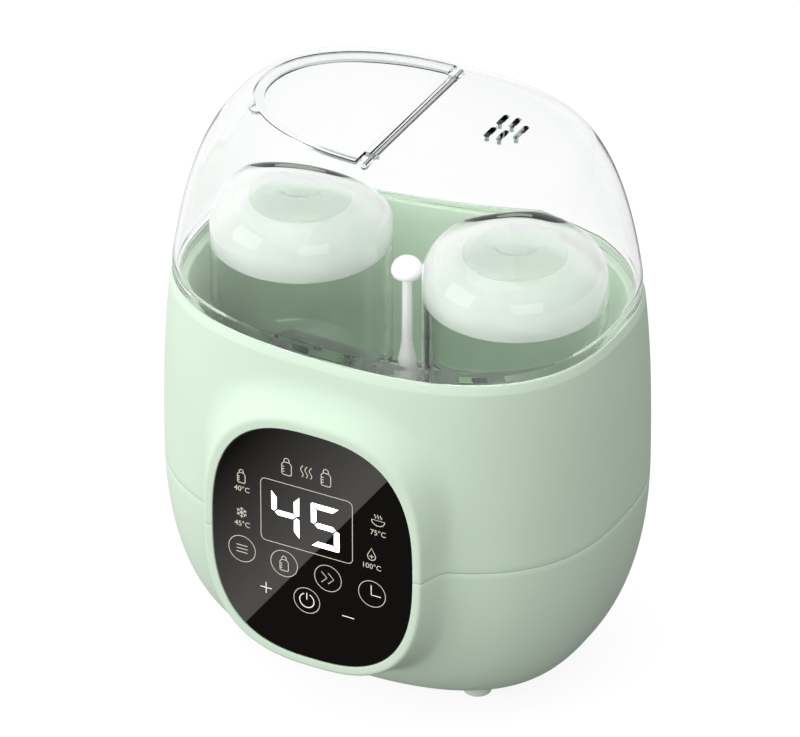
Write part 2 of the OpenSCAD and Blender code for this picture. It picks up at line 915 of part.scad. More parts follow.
module rack_post() {
    head_r = 7.4;
    head_low = post_top_z - 9;
    color(white) at_body()
        rotate_extrude($fn = 64)
            polygon(concat(
                [
                    [0, rack_z - 5], [3.6, rack_z - 5], [3.6, rack_z - 3.1], [3, rack_z - 3], [3, rack_z],
                    [4.8, rack_z], [4.4, rack_z + 4], [4.3, 143], [3.4, 146.5], [2.5, 150],
                    [2.3, head_low], [head_r - 0.8, head_low]
                ],
                [for (t = [0 : 15 : 90]) [head_r * cos(t), head_low + 1 + (post_top_z - head_low - 1) * sin(t)]]
            ));
}

// Bottle profile, right half, from the mouth at the bottom to the base at the top
heel_r = 18;
bottle_t = 3.2;
mouth_z = 95.8;

module bottle(x) {
    r = bottle_r;
    z = bottle_top_z;
    outside = concat(
        [[neck_r - 1.5, mouth_z], [neck_r - 0.7, mouth_z + 0.8], [neck_r - 0.7, rack_z - 5], [neck_r, rack_z - 4]],
        [for (t = [0 : 15 : 90]) [neck_r + 4 - 4 * cos(t), rack_z - 1.7 + 3 * sin(t)]],
        [for (t = [-75 : 15 : 0]) [r - 14 + 14 * cos(t), rack_z + 16.8 + 14 * sin(t)]],
        [for (t = [0 : 10 : 90]) [r - heel_r + heel_r * cos(t), z - heel_r + heel_r * sin(t)]],
        [[r - heel_r - 4, z - 0.8], [r - heel_r - 9, z - 2], [0, z - 2.4]]
    );
    inner_r = r - bottle_t;
    inside = concat(
        [[0, z - 8], [r - heel_r - 5, z - 7.6]],
        [for (t = [80 : -10 : 0]) [inner_r - 20 + 20 * cos(t), z - 27 + 20 * sin(t)]],
        [for (t = [0 : -15 : -75]) [inner_r - 14 + 14 * cos(t), rack_z + 17.9 + 14 * sin(t)]],
        [[neck_r + 1.5, rack_z + 4], [neck_r - 2.8, rack_z + 1], [neck_r - 3.4, rack_z - 2], [neck_r - 3.4, mouth_z + 0.6],
         [neck_r - 2.8, mouth_z]]
    );
    color(glass_clear) at_body()
        translate([x, 0, 0]) rotate_extrude($fn = 72) polygon(concat(outside, inside));
}

module bottle_left() {
    bottle(-bottle_x);
}

module bottle_right() {
    bottle(bottle_x);
}

// ---------- Assembly ----------

lower_housing();
upper_housing();
chamber_liner();
foot_front_left();
foot_front_right();
foot_rear_left();
foot_rear_right();
heating_plate();
plate_seal();
plate_clamp();
heating_element();
temperature_sensor();
thermal_fuse();
control_panel();
panel_frame();
control_board();
display_module();
touch_pads();
buzzer();
panel_ribbon();
power_board();
transformer();
relay();
capacitor();
power_inlet();
inlet_pins();
inlet_leads();
heater_leads();
sensor_leads();
housing_screws();
clamp_screws();
board_screws();
panel_screws();
lid_dome();
lid_flap();
hinge_pin();
bottle_rack();
rack_post();
bottle_left();
bottle_right();
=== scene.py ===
"""Looks of a double bottle warmer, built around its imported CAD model.

Lengths are written in millimetres in the frame of the CAD model and scaled once, when a mesh is made.
"""

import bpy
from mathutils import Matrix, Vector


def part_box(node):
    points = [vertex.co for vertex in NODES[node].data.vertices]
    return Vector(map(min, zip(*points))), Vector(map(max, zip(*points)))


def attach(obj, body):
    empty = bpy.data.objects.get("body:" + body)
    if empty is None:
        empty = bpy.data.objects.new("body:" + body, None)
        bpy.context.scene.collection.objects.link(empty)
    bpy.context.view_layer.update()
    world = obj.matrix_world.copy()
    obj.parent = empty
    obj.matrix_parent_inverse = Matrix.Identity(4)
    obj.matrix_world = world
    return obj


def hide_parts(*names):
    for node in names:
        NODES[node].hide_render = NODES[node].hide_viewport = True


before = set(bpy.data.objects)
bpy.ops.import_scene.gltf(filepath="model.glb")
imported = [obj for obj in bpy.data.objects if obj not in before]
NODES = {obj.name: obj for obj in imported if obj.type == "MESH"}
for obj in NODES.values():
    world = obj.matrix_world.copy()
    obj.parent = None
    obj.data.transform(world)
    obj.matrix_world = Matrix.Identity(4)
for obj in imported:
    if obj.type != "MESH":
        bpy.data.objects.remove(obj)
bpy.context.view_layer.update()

import math

import bmesh
import bpy
from mathutils import Matrix, Vector

MM = 0.001


def size(node):
    """Lowest and highest corner of a CAD node in millimetres."""
    low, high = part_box(node)
    return [v / MM for v in low], [v / MM for v in high]


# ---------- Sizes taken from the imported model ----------

upper_low, upper_high = size("upper_housing")
lower_low = size("lower_housing")[0]
liner_high = size("chamber_liner")[1]
lid_low, lid_high = size("lid_dome")
flap_high = size("lid_flap")[1]
pin_low, pin_high = size("hinge_pin")
glass_low, glass_high = size("control_panel")
rack_low, rack_high = size("bottle_rack")
post_low, post_high = size("rack_post")

BODY_Y = (lid_low[1] + lid_high[1]) / 2
HALF_W = upper_high[0]
HALF_D = upper_high[1] - BODY_Y
SEAM = 0.15
PARTING_Z = upper_low[2] - SEAM
BOTTOM_Z = lower_low[2]
RIM_Z = upper_high[2]
LID_TOP = lid_high[2]
FACE_Y = upper_low[1] - BODY_Y
GLASS_Y = glass_low[1] - BODY_Y
GLASS_BACK_Y = glass_high[1] - BODY_Y
PANEL_HALF_W = glass_high[0]
PANEL_HALF_H = (glass_high[2] - glass_low[2]) / 2
PANEL_Z = (glass_high[2] + glass_low[2]) / 2
HINGE_X = (pin_low[0] + pin_high[0]) / 2
HINGE_Z = (pin_low[2] + pin_high[2]) / 2

# ---------- The form of the body, as the CAD model has it ----------

BELLY_Z = 98.8
LOW_ARC_IN, LOW_ARC_POWER = 46.2, 2.22
TOP_ARC_H, TOP_ARC_IN, TOP_ARC_POWER = 173, 49.2, 2.48
PLAN_POWER = 2.55
PANEL_POWER = 2.68
WALL = 2.6
RING_N = 240
BLOCK_M = 31


def arc_in(u, power):
    return 1 - (1 - min(u, 1) ** power) ** (1 / power)


def body_in(z):
    """How far the body's side lies inside its belly outline at height z."""
    if z < BELLY_Z:
        return LOW_ARC_IN * arc_in((BELLY_Z - z) / (BELLY_Z - BOTTOM_Z), LOW_ARC_POWER)
    return TOP_ARC_IN * arc_in((z - BELLY_Z) / TOP_ARC_H, TOP_ARC_POWER)


def oval_point(a, b, power, angle):
    """Point of a superellipse in the direction of an angle."""
    c, s = math.cos(angle), math.sin(angle)
    r = (abs(c / a) ** power + abs(s / b) ** power) ** (-1 / power)
    return r * c, r * s


def oval(a, b, power, count):
    return [oval_point(a, b, power, 2 * math.pi * i / count - math.pi / 2) for i in range(count)]


def body_ring(z, inset):
    """Ring of the body form at height z, moved in by a total inset; index 0 is at the front."""
    return [(x, y, z) for x, y in oval(HALF_W - inset, HALF_D - inset, PLAN_POWER, RING_N)]


def rounded(corners, closed=False, step=12):
    """A path of (u, v, radius) corners with each corner rounded by an arc, as (u, v) points."""
    path = []
    count = len(corners)
    for i, (u, v, radius) in enumerate(corners):
        here = Vector((u, v))
        if radius <= 0 or (not closed and i in (0, count - 1)):
            path.append(here)
            continue
        to_last = Vector(corners[i - 1][:2]) - here
        to_next = Vector(corners[(i + 1) % count][:2]) - here
        half = to_last.angle(to_next) / 2
        reach = min(radius / math.tan(half), 0.64 * to_last.length, 0.64 * to_next.length)
        radius = reach * math.tan(half)
        start = here + to_last.normalized() * reach
        centre = here + (to_last.normalized() + to_next.normalized()).normalized() * radius / math.sin(half)
        turn = math.pi - 2 * half
        steps = max(2, math.ceil(math.degrees(turn) / step))
        side = 1 if to_last.x * to_next.y - to_last.y * to_next.x < 0 else -1
        arm = start - centre
        for k in range(steps + 1):
            a = side * turn * k / steps
            c, s = math.cos(a), math.sin(a)
            path.append(centre + Vector((arm.x * c - arm.y * s, arm.x * s + arm.y * c)))
    return [(p.x, p.y) for p in path]


# ---------- Mesh making ----------


class Skin:
    """Faces collected as lists of points in the body's own frame, in millimetres."""

    def __init__(self):
        self.faces = []
        self.slots = []

    def face(self, points, slot=0):
        self.faces.append(list(points))
        self.slots.append(slot)

    def strip(self, row_a, row_b, closed=False, slot=0):
        last = len(row_a) if closed else len(row_a) - 1
        for i in range(last):
            j = (i + 1) % len(row_a)
            self.face([row_a[i], row_a[j], row_b[j], row_b[i]], slot)

    def rings(self, rows, looped=False, slots=None):
        count = len(rows) if looped else len(rows) - 1
        for k in range(count):
            self.strip(rows[k], rows[(k + 1) % len(rows)], closed=True, slot=slots[k] if slots else 0)

    def mesh(self, name):
        bm = bmesh.new()
        made = {}
        for points, slot in zip(self.faces, self.slots):
            corners = []
            for p in points:
                key = tuple(round(c, 3) for c in p)
                if key not in made:
                    made[key] = bm.verts.new((p[0] * MM, (p[1] + BODY_Y) * MM, p[2] * MM))
                if not corners or corners[-1] is not made[key]:
                    corners.append(made[key])
            if corners[0] is corners[-1]:
                corners.pop()
            if len(corners) > 2:
                try:
                    bm.faces.new(corners).material_index = slot
                except ValueError:
                    pass
        bmesh.ops.recalc_face_normals(bm, faces=bm.faces)
        mesh = bpy.data.meshes.new(name)
        bm.to_mesh(mesh)
        bm.free()
        return mesh


def new_object(name, data):
    obj = bpy.data.objects.new(name, data)
    bpy.context.scene.collection.objects.link(obj)
    return obj


def baked(obj):
    """Replaces an object's data by what its modifiers or curve settings make of it."""
    bpy.context.view_layer.update()
    graph = bpy.context.evaluated_depsgraph_get()
    mesh = bpy.data.meshes.new_from_object(obj.evaluated_get(graph))
    name = obj.name
    bpy.data.objects.remove(obj)
    obj = new_object(name, mesh)
    return obj


def boolean(obj, other, operation="DIFFERENCE"):
    step = obj.modifiers.new("boolean", "BOOLEAN")
    step.operation = operation
    step.solver = "EXACT"
    step.object = other
    obj = baked(obj)
    bpy.data.objects.remove(other)
    return obj


def piece(obj, body, materials, nodes=(), sharp=38, level=False):
    """Last step for a piece: shading, materials, the CAD body it rides on and the nodes it stands for."""
    for material in materials if isinstance(materials, (list, tuple)) else [materials]:
        obj.data.materials.append(material)
    obj.data.shade_smooth()
    obj.data.set_sharp_from_angle(angle=math.radians(sharp))
    if level:
        for polygon in obj.data.polygons:
            if abs(polygon.normal.z) > 0.9998:
                polygon.use_smooth = False
    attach(obj, body)
    if nodes:
        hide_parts(*nodes)
    return obj


def lathe(name, profile, centre, count=96, slots=None, closed=False):
    """Solid of revolution about Z from (radius, height) points; closed for a profile that loops."""
    skin = Skin()
    rows = []
    for r, z in profile:
        rows.append([
            (centre[0] + r * math.cos(2 * math.pi * i / count),
                centre[1] + r * math.sin(2 * math.pi * i / count), z)
            for i in range(count)
        ])
    skin.rings(rows, looped=closed, slots=slots)
    return new_object(name, skin.mesh(name))


def flat_curve(name, outlines, thickness, bevel=0.0, resolution=3):
    """Plate in the XY plane, centred on z = 0, from closed outlines; an inner outline is a hole."""
    curve = bpy.data.curves.new(name, "CURVE")
    curve.dimensions = "2D"
    curve.fill_mode = "BOTH"
    curve.extrude = max(thickness / 2 - bevel, 0.0) * MM
    curve.bevel_depth = bevel * MM
    curve.bevel_resolution = resolution
    curve.offset = -bevel * MM
    for outline in outlines:
        spline = curve.splines.new("POLY")
        spline.points.add(len(outline) - 1)
        for point, (x, y) in zip(spline.points, outline):
            point.co = (x * MM, y * MM, 0, 1)
        spline.use_cyclic_u = True
    return baked(new_object(name, curve))


def moved(obj, matrix):
    obj.data.transform(matrix)
    return obj


def at(x, y, z):
    return Matrix.Translation(Vector((x, y + BODY_Y, z)) * MM)


TO_FRONT = Matrix.Rotation(math.pi / 2, 4, "X")


def joined(name, objects):
    """One object from several, each keeping its shape."""
    bm = bmesh.new()
    for obj in objects:
        bm.from_mesh(obj.data)
        bpy.data.objects.remove(obj)
    mesh = bpy.data.meshes.new(name)
    bm.to_mesh(mesh)
    bm.free()
    return new_object(name, mesh)


def rod(name, radius, start, end, count=48, edge=0.0):
    """Round bar between two points, with its end edges rounded."""
    a, b = Vector(start), Vector(end)
    length = (b - a).length
    profile = rounded([(0, 0, 0), (radius, 0, edge), (radius, length, edge), (0, length, 0)])
    obj = lathe(name, profile, (0, -BODY_Y), count)
    turn = Vector((0, 0, 1)).rotation_difference(b - a).to_matrix().to_4x4()
    return moved(obj, at(*a) @ turn)


def block(name, low, high, bevel=0.0):
    """Box between two corners with rounded edges."""
    x0, y0, z0 = low
    x1, y1, z1 = high
    plate = flat_curve(name, [[(x0, y0), (x1, y0), (x1, y1), (x0, y1)]], z1 - z0, bevel)
    return moved(plate, at(0, 0, (z0 + z1) / 2))


# ---------- Materials ----------


def shader(name):
    material = bpy.data.materials.new(name)
    material.use_nodes = True
    return material, material.node_tree, material.node_tree.nodes["Principled BSDF"]


def noise(tree, scale, detail=2.0, roughness=0.5):
    """Noise in the object's own metres; scale is in waves per metre."""
    coordinates = tree.nodes.new("ShaderNodeTexCoord")
    texture = tree.nodes.new("ShaderNodeTexNoise")
    texture.inputs["Scale"].default_value = scale
    texture.inputs["Detail"].default_value = detail
    texture.inputs["Roughness"].default_value = roughness
    tree.links.new(coordinates.outputs["Object"], texture.inputs["Vector"])
    return texture.outputs["Fac"]


def spread(tree, factor, low, high, start=0.3, end=0.7):
    """Maps a noise value to a range."""
    node = tree.nodes.new("ShaderNodeMapRange")
    for key, value in (("From Min", start), ("From Max", end), ("To Min", low), ("To Max", high)):
        node.inputs[key].default_value = value
    tree.links.new(factor, node.inputs["Value"])
    return node.outputs["Result"]


def between(tree, factor, colour_a, colour_b):
    ramp = tree.nodes.new("ShaderNodeValToRGB")
    ramp.color_ramp.elements[0].position = 0.3
    ramp.color_ramp.elements[1].position = 0.7
    ramp.color_ramp.elements[0].color = (*colour_a, 1)
    ramp.color_ramp.elements[1].color = (*colour_b, 1)
    tree.links.new(factor, ramp.inputs["Fac"])
    return ramp.outputs["Color"]


def bump(tree, target, height, strength, depth):
    node = tree.nodes.new("ShaderNodeBump")
    node.inputs["Strength"].default_value = strength
    node.inputs["Distance"].default_value = depth * MM
    tree.links.new(height, node.inputs["Height"])
    tree.links.new(node.outputs["Normal"], target.inputs["Normal"])


def plastic(name, colour, rough=0.4, vary=0.03, grain=0.5, depth=0.01, specular=0.5, metal=0.0, coat=0.0,
        patch=45.0):
    """Moulded or plated surface: slow colour drift, uneven gloss and a fine grain (grain and patch in mm)."""
    material, tree, main = shader(name)
    darker = [c * (1 - vary) for c in colour]
    lighter = [min(1.0, c * (1 + vary)) for c in colour]
    slow = noise(tree, 1000 / patch, 3)
    tree.links.new(between(tree, slow, darker, lighter), main.inputs["Base Color"])
    tree.links.new(spread(tree, noise(tree, 1000 / (patch * 0.4), 4), rough * 0.9, rough * 1.1),
        main.inputs["Roughness"])
    bump(tree, main, noise(tree, 1000 / grain, 3, 0.6), 0.35, depth)
    main.inputs["Metallic"].default_value = metal
    main.inputs["Specular IOR Level"].default_value = specular
    main.inputs["Coat Weight"].default_value = coat
    return material


def clear(name, tint, rough=0.0, ior=1.5, waviness=0.02, wave=60.0, haze=0.0, rough_vary=0.01):
    """Clear moulded plastic or glass that lets lamplight through, with faint waviness."""
    material, tree, main = shader(name)
    darker = [c * 0.985 for c in tint]
    tree.links.new(between(tree, noise(tree, 1000 / wave, 2), darker, tint), main.inputs["Base Color"])
    tree.links.new(spread(tree, noise(tree, 1000 / 20, 3), rough, rough + rough_vary),
        main.inputs["Roughness"])
    bump(tree, main, noise(tree, 1000 / wave, 1), 0.1, waviness)
    main.inputs["Transmission Weight"].default_value = 1 - haze
    main.inputs["IOR"].default_value = ior
    path = tree.nodes.new("ShaderNodeLightPath")
    through = tree.nodes.new("ShaderNodeBsdfTransparent")
    through.inputs["Color"].default_value = (*[c ** 0.5 for c in tint], 1)
    mix = tree.nodes.new("ShaderNodeMixShader")
    tree.links.new(path.outputs["Is Shadow Ray"], mix.inputs["Fac"])
    tree.links.new(main.outputs["BSDF"], mix.inputs[1])
    tree.links.new(through.outputs["BSDF"], mix.inputs[2])
    tree.links.new(mix.outputs["Shader"], tree.nodes["Material Output"].inputs["Surface"])
    return material


def lit(name, colour, strength):
    """Printed or lit mark that glows a little unevenly."""
    material, tree, main = shader(name)
    glow = between(tree, noise(tree, 1000 / 6, 2), [c * 0.94 for c in colour], colour)
    tree.links.new(glow, main.inputs["Base Color"])
    tree.links.new(glow, main.inputs["Emission Color"])
    main.inputs["Emission Strength"].default_value = strength
    main.inputs["Roughness"].default_value = 0.4
    return material


GREEN = plastic("green_satin_plastic", (0.60, 0.74, 0.595), rough=0.42, vary=0.012, grain=0.6, depth=0.012)
LINER_GREEN = plastic("green_liner_plastic", (0.56, 0.71, 0.55), rough=0.36, vary=0.015, grain=0.6,
    depth=0.01)
BLACK_GLASS = plastic("black_panel_glass", (0.0032, 0.0028, 0.0024), rough=0.012, vary=0.05, grain=4,
    depth=0.0006)
LID_CLEAR = clear("clear_lid_plastic", (0.978, 0.983, 0.98), rough=0.0, ior=1.2, waviness=0.012)
# Darker tint for the edge faces of the lid and flap: painted shade that draws their rims as dark outline
# lines, in place of what refraction does at clear edges.
EDGE_SHADE_CLEAR = clear("clear_edge_painted_shade", (0.42, 0.45, 0.44), rough=0.02, ior=1.2, waviness=0.01)
BOTTLE_CLEAR = clear("bottle_glass", (0.975, 0.988, 0.98), rough=0.0, ior=1.36, waviness=0.01)
BOTTLE_DOME = clear("bottle_milky_dome", (0.94, 0.96, 0.945), rough=0.25, ior=1.36, haze=0.4,
    rough_vary=0.01)
BOTTLE_BASE = clear("bottle_milky_base", (0.93, 0.965, 0.94), rough=0.14, ior=1.36, haze=0.26,
    rough_vary=0.01)
RACK_CLEAR = clear("grey_rack_plastic", (0.42, 0.45, 0.425), rough=0.1, ior=1.4, haze=0.55, rough_vary=0.05)
WHITE = plastic("white_gloss_plastic", (0.93, 0.92, 0.925), rough=0.16, vary=0.01, grain=2, depth=0.003,
    coat=0.3)
RUBBER = plastic("foot_rubber", (0.60, 0.66, 0.595), rough=0.7, vary=0.04, grain=0.4, depth=0.03)
HEATER = plastic("dark_plate_coating", (0.045, 0.055, 0.05), rough=0.45, vary=0.12, grain=0.3, depth=0.02)
STEEL = plastic("plated_steel", (0.60, 0.61, 0.62), rough=0.28, vary=0.05, grain=0.8, depth=0.01, metal=1.0)
SILICONE = plastic("silicone_seal", (0.62, 0.66, 0.62), rough=0.6, vary=0.04, grain=0.5, depth=0.02)
CERAMIC = plastic("fuse_ceramic", (0.55, 0.48, 0.33), rough=0.5, vary=0.08, grain=0.4, depth=0.02)
BLACK_PLASTIC = plastic("black_plastic", (0.018, 0.018, 0.019), rough=0.4, vary=0.12, grain=0.35,
    depth=0.03)
BOARD = plastic("circuit_board", (0.02, 0.13, 0.055), rough=0.32, vary=0.25, grain=1.2, depth=0.03, patch=6)
FOAM = plastic("conductive_foam", (0.05, 0.05, 0.055), rough=0.9, vary=0.3, grain=0.25, depth=0.08, patch=2)
RIBBON = plastic("ribbon_cable", (0.52, 0.52, 0.56), rough=0.45, vary=0.12, grain=1.1, depth=0.1, patch=3)
WINDING = plastic("winding_tape", (0.62, 0.46, 0.07), rough=0.4, vary=0.12, grain=0.7, depth=0.08, patch=5)
RELAY_BLUE = plastic("relay_case", (0.03, 0.11, 0.33), rough=0.3, vary=0.08, grain=0.5, depth=0.02)
SLEEVE = plastic("capacitor_sleeve", (0.02, 0.025, 0.07), rough=0.28, vary=0.1, grain=0.6, depth=0.02)
LEAD_WHITE = plastic("lead_white", (0.68, 0.68, 0.62), rough=0.5, vary=0.08, grain=0.4, depth=0.02)
LEAD_RED = plastic("lead_red", (0.5, 0.05, 0.04), rough=0.5, vary=0.08, grain=0.4, depth=0.02)
LEAD_BROWN = plastic("lead_brown", (0.2, 0.08, 0.035), rough=0.5, vary=0.08, grain=0.4, depth=0.02)
PRINT = lit("cream_print", (0.66, 0.62, 0.52), 0.12)
ICON = lit("white_print", (0.86, 0.85, 0.80), 0.25)
DIGIT = lit("lit_digit", (1.0, 0.98, 0.96), 2.2)


# ---------- Housings ----------

EDGE = 0.4
BEZEL_W = 4.4
FRONT_BLEND = 5.5
SIDE_STEEP, TOP_STEEP = 71.5, 38.0
POCKET = 0.15
WINDOW_IN = 3.0
WINDOW_T = 1.5


def body_front(x, z, inset):
    """y of the front of the body form at (x, z)."""
    m = body_in(z) + inset
    a, b = HALF_W - m, HALF_D - m
    u = min(abs(x) / a, 1)
    return -b * (1 - u ** PLAN_POWER) ** (1 / PLAN_POWER)


def panel_distance(x, z):
    """How much larger than the glass a panel outline through (x, z) is."""
    low, high = -20.0, 80.0
    for _ in range(40):
        d = (low + high) / 2
        level = (abs(x) / (PANEL_HALF_W + d)) ** PANEL_POWER + (abs(z - PANEL_Z) / (PANEL_HALF_H
            + d)) ** PANEL_POWER
        low, high = (d, high) if level > 1 else (low, d)
    return (low + high) / 2


def boss_front(d, x, z):
    """y of the bezel and the side of the boss, d outside the glass outline; the side is gentle above."""
    up = max(0.0, math.sin(math.atan2((z - PANEL_Z) * 0.85, x)))
    steep = math.radians(SIDE_STEEP + (TOP_STEEP - SIDE_STEEP) * up ** 1.5)
    radius = 1.9 + 4.0 * up ** 2
    flat_end = BEZEL_W - 1.5
    if d <= flat_end:
        return FACE_Y
    s = (d - flat_end) / radius
    if s < math.sin(steep):
        return FACE_Y + radius * (1 - math.sqrt(1 - s * s))
    end = flat_end + radius * math.sin(steep)
    return FACE_Y + radius * (1 - math.cos(steep)) + math.tan(steep) * (d - end)


def soft_min(a, b, k):
    h = max(0.0, min(1.0, 0.5 + 0.5 * (b - a) / k))
    return b * (1 - h) + a * h - k * h * (1 - h)


def outer_front(x, z):
    return soft_min(body_front(x, z, 0), boss_front(panel_distance(x, z), x, z), FRONT_BLEND)


def inner_front(x, z):
    cone = GLASS_BACK_Y + WINDOW_T + 2.0 * (panel_distance(x, z) + WINDOW_IN)
    return soft_min(body_front(x, z, WALL), cone, 1.5)


def panel_ring(d, ends, flip, base_z):
    """Points (x, z) of the panel outline grown by d, from the right end at base_z round to the left end."""
    a, b = PANEL_HALF_W + d, PANEL_HALF_H + d
    h = (base_z - PANEL_Z) * flip
    x_end = a * (1 - (abs(h) / b) ** PANEL_POWER) ** (1 / PANEL_POWER)
    first = math.atan2(h, x_end)
    points = []
    for share in ends:
        angle = first + share * (math.pi - 2 * first)
        x, z = oval_point(a, b, PANEL_POWER, angle)
        points.append((x, PANEL_Z + flip * z))
    points[0] = (x_end, base_z)
    points[-1] = (-x_end, base_z)
    return points


def housing(name, flip, rows, tail):
    """Half of the shell on one side of the parting line (flip 1 above, -1 below).

    rows are heights from the parting line to the end of the panel block; tail are (inset, z) rings that go
    on from there over the rim or bottom and back down the inside to the same height.
    """
    skin = Skin()
    base_z = rows[0]
    outer = [body_ring(z, body_in(z)) for z in rows]
    inner = [body_ring(z, body_in(z) + WALL) for z in rows]
    around = [i % RING_N for i in range(BLOCK_M, RING_N - BLOCK_M + 1)]
    for side in (outer, inner):
        for j in range(len(rows) - 1):
            skin.strip([side[j][i] for i in around], [side[j + 1][i] for i in around])
    skin.rings([outer[-1]] + [body_ring(z, m) for m, z in tail] + [inner[-1]])

    def edge_points(side):
        right = [side[j][BLOCK_M] for j in range(len(rows))]
        top = [side[-1][i % RING_N] for i in range(BLOCK_M - 1, -BLOCK_M, -1)]
        left = [side[j][-BLOCK_M] for j in range(len(rows) - 1, -1, -1)]
        return right + top + left

    border, border_in = edge_points(outer), edge_points(inner)
    angles = [math.atan2((z - PANEL_Z) * flip, x) for x, _, z in border]
    angles = [a + 2 * math.pi if a < -math.pi / 2 else a for a in angles]
    shares = [(a - angles[0]) / (angles[-1] - angles[0]) for a in angles]

    def ring(d):
        return panel_ring(d, shares, flip, base_z)

    blend_rows = 7
    reach = 13.0
    start = ring(reach)
    columns = [border]
    for k in range(1, blend_rows):
        s = (k / blend_rows) ** 0.8
        flat = [(b[0] * (1 - s) + p[0] * s, b[2] * (1 - s) + p[1] * s) for b, p in zip(border, start)]
        columns.append([(x, outer_front(x, z), z) for x, z in flat])
    steps = [reach, 11.6, 10.4, 9.3, 8.3, 7.4, 6.6, 5.9, 5.3, 4.8, 4.4, 4.0, 3.6, 3.2, 2.8, 1.8, 0.9]
    for d in steps:
        columns.append([(x, outer_front(x, z), z) for x, z in ring(d)])
    for d, drop in ((0.45, 0.0), (0.25, 0.08), (POCKET, 0.3)):
        columns.append([(x, FACE_Y + drop, z) for x, z in ring(d)])
    bezel_end = len(columns)
    columns.append([(x, GLASS_BACK_Y, z) for x, z in ring(POCKET)])
    columns.append([(x, GLASS_BACK_Y, z) for x, z in ring(-WINDOW_IN)])
    columns.append([(x, GLASS_BACK_Y + WINDOW_T, z) for x, z in ring(-WINDOW_IN)])
    for d in (-2.2, -1.4, -0.6, 1.0, 4.0):
        columns.append([(x, inner_front(x, z), z) for x, z in ring(d)])
    near = ring(4.0)
    for k in range(1, blend_rows):
        s = k / blend_rows
        flat = [(b[0] * s + p[0] * (1 - s), b[2] * s + p[1] * (1 - s)) for b, p in zip(border_in, near)]
        columns.append([(x, inner_front(x, z), z) for x, z in flat])
    columns.append(border_in)
    for a, b in zip(columns, columns[1:]):
        skin.strip(a, b)

    # Closed outline in the parting plane, with its outer stretch rounded over towards the seam
    left = [c[-1] for c in columns]
    right = [c[0] for c in columns]
    loop = [outer[0][i] for i in around] + left[1:-1] + [inner[0][i]
        for i in reversed(around)] + right[-2:0:-1]
    n_out = len(around)
    n_side = len(left) - 2
    soft = [k < n_out + bezel_end - 2 or k >= len(loop) - bezel_end + 2 for k in range(len(loop))]
    seam_z = base_z - flip * EDGE
    last = []
    for k, (x, y, z) in enumerate(loop):
        x0, y0, _ = loop[k - 1]
        x1, y1, _ = loop[(k + 1) % len(loop)]
        length = math.hypot(x1 - x0, y1 - y0)
        push = EDGE * 0.8 / length if soft[k] else 0.0
        last.append((x - (y1 - y0) * push, y + (x1 - x0) * push, seam_z))
    mid = [
        ((a[0] * 0.72 + b[0] * 0.28), (a[1] * 0.72 + b[1] * 0.28), a[2] * 0.35 + b[2] * 0.65)
        for a, b in zip(loop, last)
    ]
    skin.strip(loop, mid, closed=True)
    skin.strip(mid, last, closed=True)
    out_row = last[:n_out]
    in_row = last[n_out + n_side:2 * n_out + n_side][::-1]
    skin.strip(out_row, in_row)
    skin.face([out_row[-1]] + last[n_out:n_out + n_side] + [in_row[-1]])
    skin.face([out_row[0]] + last[2 * n_out + n_side:][::-1] + [in_row[0]])
    return new_object(name, skin.mesh(name))


def spaced(start, end, count, power=1.0):
    return [start + (end - start) * (k / count) ** power for k in range(count + 1)]


def make_upper_housing():
    block_top = 177.0
    rows = spaced(PARTING_Z + SEAM + EDGE, block_top, 30)
    flange = liner_high[2]
    chamfer_z = RIM_Z - 4
    rim_in = body_in(RIM_Z)
    over = rounded([
        (body_in(block_top + 1), block_top + 1, 0),
        (body_in(chamfer_z), chamfer_z, 2),
        (rim_in + 0.9, RIM_Z, 0.5),
        (rim_in + WALL, RIM_Z, 0.5),
        (body_in(flange - 2.1) + WALL, flange - 2.1, 0.2),
        (body_in(flange - 2.1) + 5.3, flange - 2.1, 0.3),
        (body_in(flange - 3.1) + 5.3, flange - 3.1, 0.3),
        (body_in(flange - 3.1) + WALL, flange - 3.1, 0),
    ])
    obj = housing("upper_housing_shell", 1, rows, over)
    return piece(obj, "base", GREEN, ["upper_housing"])


